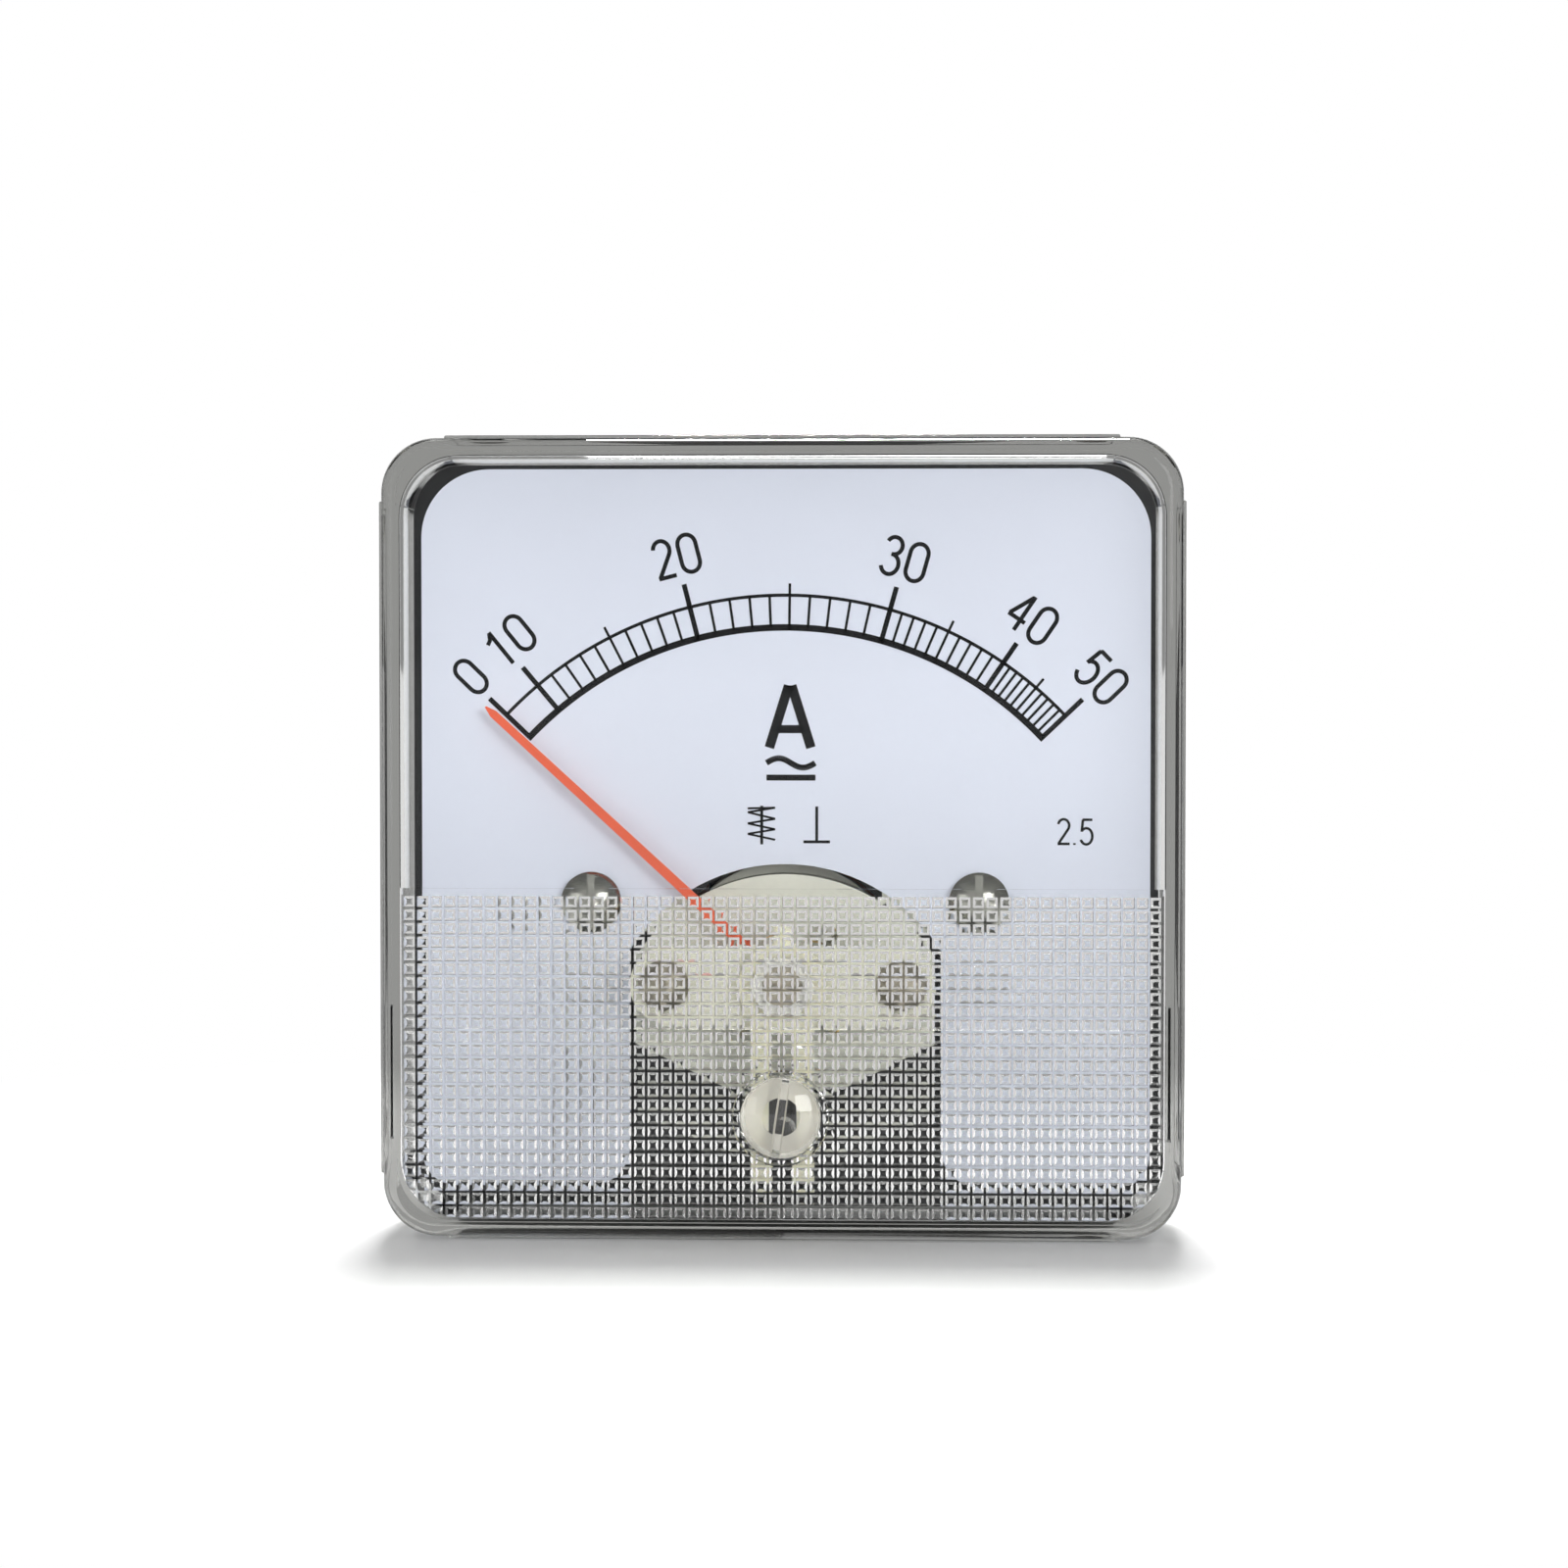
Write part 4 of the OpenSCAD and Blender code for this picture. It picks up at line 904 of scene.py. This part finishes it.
# Each finish of the movement: how it is made, its colour, its values and the nodes it dresses.
MOVEMENT_FINISHES = {
    "Cream moulding": (moulding, "cream", {"rough": 0.5}, (
        "movement_frame", "damping_cover", "coil_former", "rear_bridge")),
    "Bone moulding": (moulding, "bone", {"rough": 0.45}, ("front_bridge",)),
    "Natural nylon": (moulding, "nylon", {
        "rough": 0.4, "grain": 1800, "height": 0.2, "spread": 0.06, "shader": {
            "Subsurface Weight": 0.35, "Subsurface Scale": MM,
            "Subsurface Radius": (1.0, 0.9, 0.5),
        }}, ("zero_lever",)),
    "Pointer paint": (moulding, "pointer", {
        "rough": 0.35, "grain": 4000, "height": 0.1, "spread": 0.03}, ("pointer",)),
    "Dark chrome": (metal, "chrome", {"rough": 0.10, "height": 0.05, "spread": 0.05}, (
        "dial_screw_left", "dial_screw_right")),
    "Nickel plate": (metal, "nickel", {"rough": 0.22}, (
        "rear_bridge_screw_left", "rear_bridge_screw_right", "rear_lock_nut", "front_lock_nut",
        "tail_weight", "cross_weight_left", "cross_weight_right")),
    "Dull nickel": (metal, "dull", {"rough": 0.32, "height": 0.3, "spread": 0.15}, (
        "bridge_screw_left", "bridge_screw_right", "front_bearing_screw")),
    "Turned brass": (metal, "brass", {
        "rough": 0.28, "rings": 8000, "height": 0.3, "spread": 0.1, "centre": STAFF_AXIS}, (
        "rear_bearing_screw", "spring_collet", "pointer_hub", "iron_carrier")),
    "Polished steel": (metal, "steel", {
        "rough": 0.12, "rings": 14000, "height": 0.1, "spread": 0.05, "centre": STAFF_AXIS}, (
        "staff",)),
    "Sheet aluminium": (metal, "aluminium", {"rough": 0.35, "rings": 3000, "height": 0.1}, (
        "damping_vane",)),
    "Soft iron": (metal, "iron", {
        "rough": 0.5, "rings": 3000, "height": 0.3, "spread": 0.2}, (
        "moving_iron", "fixed_iron")),
    "Ruby": (clear_finish, "ruby", {"rough": 0.04, "specular": 0.5, "ior": 1.77}, (
        "front_jewel", "rear_jewel")),
    "Copper wire": (metal, "copper", {"rough": 0.3, "rings": 4000, "height": 0.15}, ("coil",)),
}


class METER_OT_movement(bpy.types.Operator):
    """Finishes the movement: frame, bridges, lever, pointer, staff, irons, weights and coil"""

    bl_idname = "meter.movement"
    bl_label = "Movement"

    def execute(self, context):
        colours = chosen("finishes")
        for name, (make, tint, values, nodes) in MOVEMENT_FINISHES.items():
            dress(make(name, getattr(colours, tint), **values), *nodes)
        return {"FINISHED"}


def spiral_ribbon(inner, outer, height, sizes):
    """Flat strip wound into a spiral round the y axis, from the top, clockwise from the front."""
    per_turn = 60
    count = per_turn * sizes.turns
    points = []
    for i in range(count + 1):
        angle, radius = TURN * i / per_turn, inner + (outer - inner) * i / count
        points.append((radius * math.sin(angle), radius * math.cos(angle), 0))
    bm = rotate(traced("ribbon", [points], extrude=height / 2), math.pi / 2, "X")
    bmesh.ops.solidify(bm, geom=list(bm.faces), thickness=sizes.ribbon)
    return outwards(bm)


class METER_OT_hairspring(bpy.types.Operator):
    """Winds the hairspring: its inner end turns with the staff, its outer end with the lever"""

    bl_idname = "meter.hairspring"
    bl_label = "Hairspring"

    def execute(self, context):
        sizes = chosen("hardware")
        bronze = metal("Spring bronze", chosen("finishes").bronze, 0.25, rings=5000, height=0.1,
                       spread=0.06, centre=STAFF_AXIS)
        collet_low, collet_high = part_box("spring_collet")
        inner = (collet_high.x - collet_low.x) / 2
        low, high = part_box("hairspring")
        outer = high.z - AXIS_Z - sizes.ribbon
        bm = spiral_ribbon(inner, outer, high.y - low.y, sizes)
        centre = Vector((0, (low.y + high.y) / 2, AXIS_Z))
        move(bm, *centre)
        spring = finished("hairspring_ribbon", bm, bronze, None, 60)
        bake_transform(spring, "moving_system", "lever", centre, centre + Vector((0, 0, outer)))
        share = spring.data.attributes["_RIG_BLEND"]
        for vert, weight in zip(spring.data.vertices, share.data):
            radius = math.hypot(vert.co.x, vert.co.z - AXIS_Z)
            weight.value = min(1.0, max(0.0, (radius - inner) / (outer - inner)))
        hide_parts("hairspring")
        return {"FINISHED"}


# ---------- housing ----------

# A nut's chamfer falls by this share of its width, and its bore is countersunk by the second.
NUT_FALL, NUT_SINK = 0.58, 0.3 * MM


def screw_thread(radius, depth, pitch, start, end, lead_in):
    """Closed thread round the y axis: one pitch spun upwards, cut to length and chamfered."""
    per_turn = 28
    turns = math.ceil((end - start) / pitch) + 3
    root, crest, crest_end = radius - depth, 0.44 * pitch, 0.56 * pitch
    profile = [(root, 0), (radius, crest), (radius, crest_end), (root, pitch)]
    bm = bmesh.new()
    points = [bm.verts.new((r, start - 1.5 * pitch + y, 0)) for r, y in profile]
    edges = [bm.edges.new(pair) for pair in zip(points, points[1:])]
    bmesh.ops.spin(
        bm, geom=points + edges, cent=(0, 0, 0), axis=(0, 1, 0), dvec=(0, pitch / per_turn, 0),
        angle=TURN * turns, steps=per_turn * turns, use_merge=False, use_duplicate=False,
    )
    bmesh.ops.remove_doubles(bm, verts=bm.verts, dist=1e-6)
    clip(bm, (0, start, 0), (0, 1, 0))
    clip(bm, (0, end + 0.2 * pitch, 0), (0, -1, 0))
    trim = turned(0, [
        (0, start - pitch), (2 * radius, start - pitch), (2 * radius, end - lead_in - radius),
        (radius - lead_in, end), (0, end),
    ], 56)
    return cut(bm, [(trim, "INTERSECT")])


def moved_to(node, bm):
    """Moves a bmesh from the y axis to a CAD node's own axis."""
    at = middle(node)
    return move(bm, at.x, 0, at.z)


def mounting_stud(node, sizes):
    """Root disc and threaded shank of a mounting stud."""
    low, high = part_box(node)
    root_r = (high.x - low.x) / 2
    root = turned(0, [(0, low.y), (root_r, low.y), (root_r, 0), (0, 0)])
    shank = screw_thread(
        sizes.stud, sizes.stud_depth, sizes.stud_pitch, -0.2 * MM, high.y, sizes.lead_in
    )
    return moved_to(node, cut(root, [(shank, "UNION")]))


def hexagon_bar(front, back, corner):
    """Six-sided bar round the y axis with two of its corners level with it."""
    return rotate(bar(0, front, back, corner, 6), math.pi / 2)


def terminal_stud(side, sizes):
    """Terminal with a hexagonal head inside and a threaded shank through the barrel's end."""
    node = f"terminal_stud_{side}"
    low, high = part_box(node)
    head_back = low.y + sizes.terminal_head
    nut_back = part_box(f"terminal_nut_{side}")[1].y
    head = hexagon_bar(low.y, head_back, (high.x - low.x) / 2)
    core = bar(0, head_back - 0.1 * MM, nut_back, sizes.terminal - sizes.terminal_depth, 46)
    thread = screw_thread(sizes.terminal, sizes.terminal_depth, sizes.terminal_pitch,
                          nut_back - 0.05 * MM, high.y, sizes.lead_in)
    return moved_to(node, cut(head, [(core, "UNION"), (thread, "UNION")]))


def hexagon_nut(node, bore):
    """Nut with both faces chamfered and a countersunk bore."""
    low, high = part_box(node)
    corner = (high.x - low.x) / 2
    flat = corner * math.cos(math.pi / 6)
    fall = (corner - flat) * NUT_FALL
    face_r, past_r = flat * 0.97, corner * 1.02
    envelope = turned(0, [
        (0, low.y), (face_r, low.y), (past_r, low.y + fall), (past_r, high.y - fall),
        (face_r, high.y), (0, high.y),
    ])
    hole = turned(0, [
        (0, low.y - MM), (bore + NUT_SINK + MM, low.y - MM), (bore, low.y + NUT_SINK),
        (bore, high.y - NUT_SINK), (bore + NUT_SINK + MM, high.y + MM), (0, high.y + MM),
    ], 52)
    nut = hexagon_bar(low.y - MM, high.y + MM, corner)
    return moved_to(node, cut(nut, [(envelope, "INTERSECT"), (hole, "DIFFERENCE")]))


class METER_OT_housing(bpy.types.Operator):
    """Finishes the black base, and the studs, terminals and straps behind it"""

    bl_idname = "meter.housing"
    bl_label = "Housing and fixings"

    def execute(self, context):
        colours, sizes = chosen("finishes"), chosen("hardware")
        black = moulding("Black moulding", colours.black, 0.36, grain=2600, height=0.35,
                         spread=0.25, shader={"Specular IOR Level": 0.3})
        dress(black, "base_housing")
        steel = metal("Plated steel", colours.nickel, 0.25, rings=6000, height=0.15)
        for place in ("top_left", "top_right", "bottom_left", "bottom_right"):
            node = f"mounting_stud_{place}"
            bm = mounting_stud(node, sizes)
            stud = finished(f"threaded_{node}", bm, steel, "housing", 30)
            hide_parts(node)
        bore = sizes.terminal - sizes.terminal_depth + 0.02 * MM
        for side in ("left", "right"):
            node = f"terminal_stud_{side}"
            at = middle(node)
            brass = metal(f"Terminal brass {side}", colours.brass, 0.3, rings=5000, height=0.25,
                          spread=0.1, centre=(at.x, at.z))
            bm = terminal_stud(side, sizes)
            stud = finished(f"threaded_terminal_{side}", bm, brass, "housing", 30)
            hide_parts(node)
            for node in (f"fixing_nut_{side}", f"terminal_nut_{side}"):
                bm = hexagon_nut(node, bore)
                nut = finished(f"chamfered_{node}", bm, brass, "housing", 25)
                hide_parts(node)
            dress(brass, f"terminal_washer_{side}")
            dress(steel, f"spring_washer_{side}")
        copper = metal("Strap copper", colours.copper, 0.35, rings=2500, height=0.2)
        dress(copper, "lead_strap_left", "lead_strap_right")
        return {"FINISHED"}


# ---------- stage ----------

# The camera: degrees to the right and above, metres away, and its lens and sensor in mm.
CAMERA_AZIMUTH, CAMERA_ELEVATION, CAMERA_DISTANCE = 2.2, 2.0, 0.2985
CAMERA_LENS, CAMERA_SENSOR = 92.5, 36
# What it looks at lies this far to the right of the middle of the cover's face, and above it.
AIM_RIGHT, AIM_UP = 0.26 * MM, 4.12 * MM
# Each square lamp's place, its side in metres and its power in watts.
LAMPS = {
    "key": ((0.32, -0.6, 0.14), 0.25, 1.5),
    "fill": ((-0.5, -0.5, 0.08), 0.3, 0.53),
    "top": ((0.0, 0.27, 0.6), 0.14, 6.8),
}
WHITE = (1, 1, 1, 1)
FLOOR_SIZE = 6
# Reflections of the studio's sides are dimmer by this much more than what shows through plastic.
MIRROR_LOSS = 0.35


def look_at(holder, target):
    """Points a camera or lamp at a place."""
    aim = Vector(target) - holder.location
    holder.rotation_euler = aim.to_track_quat("-Z", "Y").to_euler()


def add_lamp(name, place, target, side, watts):
    """Adds a square lamp that points at a place."""
    lamp = bpy.data.lights.new(name, "AREA")
    lamp.shape = "SQUARE"
    lamp.size = side
    lamp.energy = watts
    holder = in_scene(name, lamp)
    holder.location = place
    look_at(holder, target)


def white_for_lookers(tree):
    """1 where the camera, a reflection or a clear part looks, and 0 for the light on surfaces."""
    ray = add_node(tree, "LightPath").outputs
    straight = maths(tree, "MAXIMUM", ray["Is Camera Ray"], ray["Is Glossy Ray"])
    return maths(tree, "MAXIMUM", straight, ray["Is Transmission Ray"])


def direction_share(tree, axis, start, end):
    """How far a ray of the world points along y, or either way along x or z: 0 to 1."""
    place = add_node(tree, "TexCoord").outputs["Generated"]
    along = add_node(tree, "SeparateXYZ", {"Vector": place}).outputs[axis]
    if axis != "Y":
        along = maths(tree, "ABSOLUTE", along)
    return soft_step(tree, along, start, end)


def light_world(level, front_dim, side_dim):
    """White studio whose sides and camera side are dimmer where metal and plastic show them."""
    world = bpy.data.worlds.new("Studio")
    bpy.context.scene.world = world
    world.use_nodes = True
    tree = world.node_tree
    fill = tree.nodes["Background"]
    feed(fill, {"Color": WHITE, "Strength": level})
    ray = add_node(tree, "LightPath").outputs
    mirrored = maths(tree, "SUBTRACT", ray["Is Glossy Ray"], ray["Is Transmission Ray"])
    front = maths(tree, "MULTIPLY", direction_share(tree, "Y", -0.45, -0.85), mirrored)
    sides = maths(tree, "MAXIMUM", direction_share(tree, "X", 0.35, 0.8),
                  direction_share(tree, "Z", 0.35, 0.8))
    sides = maths(tree, "SUBTRACT", sides, ray["Is Camera Ray"])
    front_loss = maths(tree, "MULTIPLY", front, 1 - front_dim)
    mirror_loss = maths(tree, "MULTIPLY", mirrored, MIRROR_LOSS)
    side_loss = maths(tree, "MULTIPLY", sides, maths(tree, "ADD", 1 - side_dim, mirror_loss))
    strength = maths(tree, "SUBTRACT", maths(tree, "SUBTRACT", 1, front_loss), side_loss)
    seen = add_node(tree, "Background", {"Color": WHITE, "Strength": strength})
    light = mixed(
        tree, white_for_lookers(tree), fill.outputs["Background"], seen.outputs["Background"]
    )
    feed(tree.nodes["World Output"], {"Surface": light})


def add_floor(level, near, far):
    """Pale floor that keeps the shadow under the meter and is pure white further off."""
    bm = bmesh.new()
    place = Matrix.Translation((0, 0, level))
    bmesh.ops.create_grid(bm, x_segments=1, y_segments=1, size=FLOOR_SIZE, matrix=place)
    floor = in_scene("floor", as_mesh("floor", bm))
    material, tree, shader = new_material("White floor")
    feed(shader, {"Base Color": (0.85, 0.85, 0.85, 1), "Roughness": 0.9, "Specular IOR Level": 0})
    place = add_node(tree, "TexCoord").outputs["Object"]
    reach = add_node(tree, "VectorMath", {0: place}, operation="LENGTH").outputs["Value"]
    share = maths(tree, "MULTIPLY", soft_step(tree, reach, near, far), white_for_lookers(tree))
    white = add_node(tree, "Emission").outputs["Emission"]
    ground = mixed(tree, share, shader.outputs["BSDF"], white)
    feed(tree.nodes["Material Output"], {"Surface": ground})
    floor.data.materials.append(material)


def add_camera(target):
    """Adds the camera, which looks at a place from its angles and distance."""
    camera = bpy.data.cameras.new("camera")
    camera.sensor_width = CAMERA_SENSOR
    camera.lens = CAMERA_LENS
    camera.clip_start = 0.01
    holder = in_scene("camera", camera)
    a, e = math.radians(CAMERA_AZIMUTH), math.radians(CAMERA_ELEVATION)
    back = Vector((math.sin(a) * math.cos(e), -math.cos(a) * math.cos(e), math.sin(e)))
    holder.location = Vector(target) + CAMERA_DISTANCE * back
    look_at(holder, target)
    bpy.context.scene.camera = holder


class METER_OT_stage(bpy.types.Operator):
    """Sets the white floor, the soft lamps, the world and the camera"""

    bl_idname = "meter.stage"
    bl_label = "Stage"

    def execute(self, context):
        context.scene.view_settings.view_transform = "Standard"
        face_y = COVER_LOW.y + chosen("cover").collar
        centre = ((COVER_LOW.x + COVER_HIGH.x) / 2, face_y, (COVER_LOW.z + COVER_HIGH.z) / 2)
        add_camera((centre[0] + AIM_RIGHT, centre[1], centre[2] + AIM_UP))
        light_world(level=0.44, front_dim=0.05, side_dim=0.35)
        add_floor(CAD_BOX[0].z, near=0.075, far=0.13)
        for name, (place, side, watts) in LAMPS.items():
            add_lamp(name, place, centre, side, watts)
        return {"FINISHED"}


# ---------- panel and running ----------

GROUPS = {
    "meter_cover": CoverSizes, "meter_adjuster": AdjusterSizes, "meter_dial": DialSizes,
    "meter_hardware": HardwareSizes, "meter_finishes": Finishes,
}
OPERATORS = (METER_OT_stage, METER_OT_cover, METER_OT_dial, METER_OT_movement,
             METER_OT_hairspring, METER_OT_housing)


class METER_PT_panel(bpy.types.Panel):
    """Lists the steps that dress the ammeter"""

    bl_label = "Ammeter"
    bl_space_type = "VIEW_3D"
    bl_region_type = "UI"
    bl_category = "Ammeter"

    def draw(self, context):
        for operator in OPERATORS:
            self.layout.operator(operator.bl_idname)


def register():
    for group in GROUPS.values():
        bpy.utils.register_class(group)
    for name, group in GROUPS.items():
        setattr(bpy.types.Scene, name, PointerProperty(type=group))
    for item in (*OPERATORS, METER_PT_panel):
        bpy.utils.register_class(item)


def unregister():
    for item in (METER_PT_panel, *reversed(OPERATORS)):
        bpy.utils.unregister_class(item)
    for name, group in reversed(GROUPS.items()):
        delattr(bpy.types.Scene, name)
        bpy.utils.unregister_class(group)


def main():
    register()
    for operator in OPERATORS:
        category, name = operator.bl_idname.split(".")
        getattr(getattr(bpy.ops, category), name)()


if __name__ == "__main__":
    main()
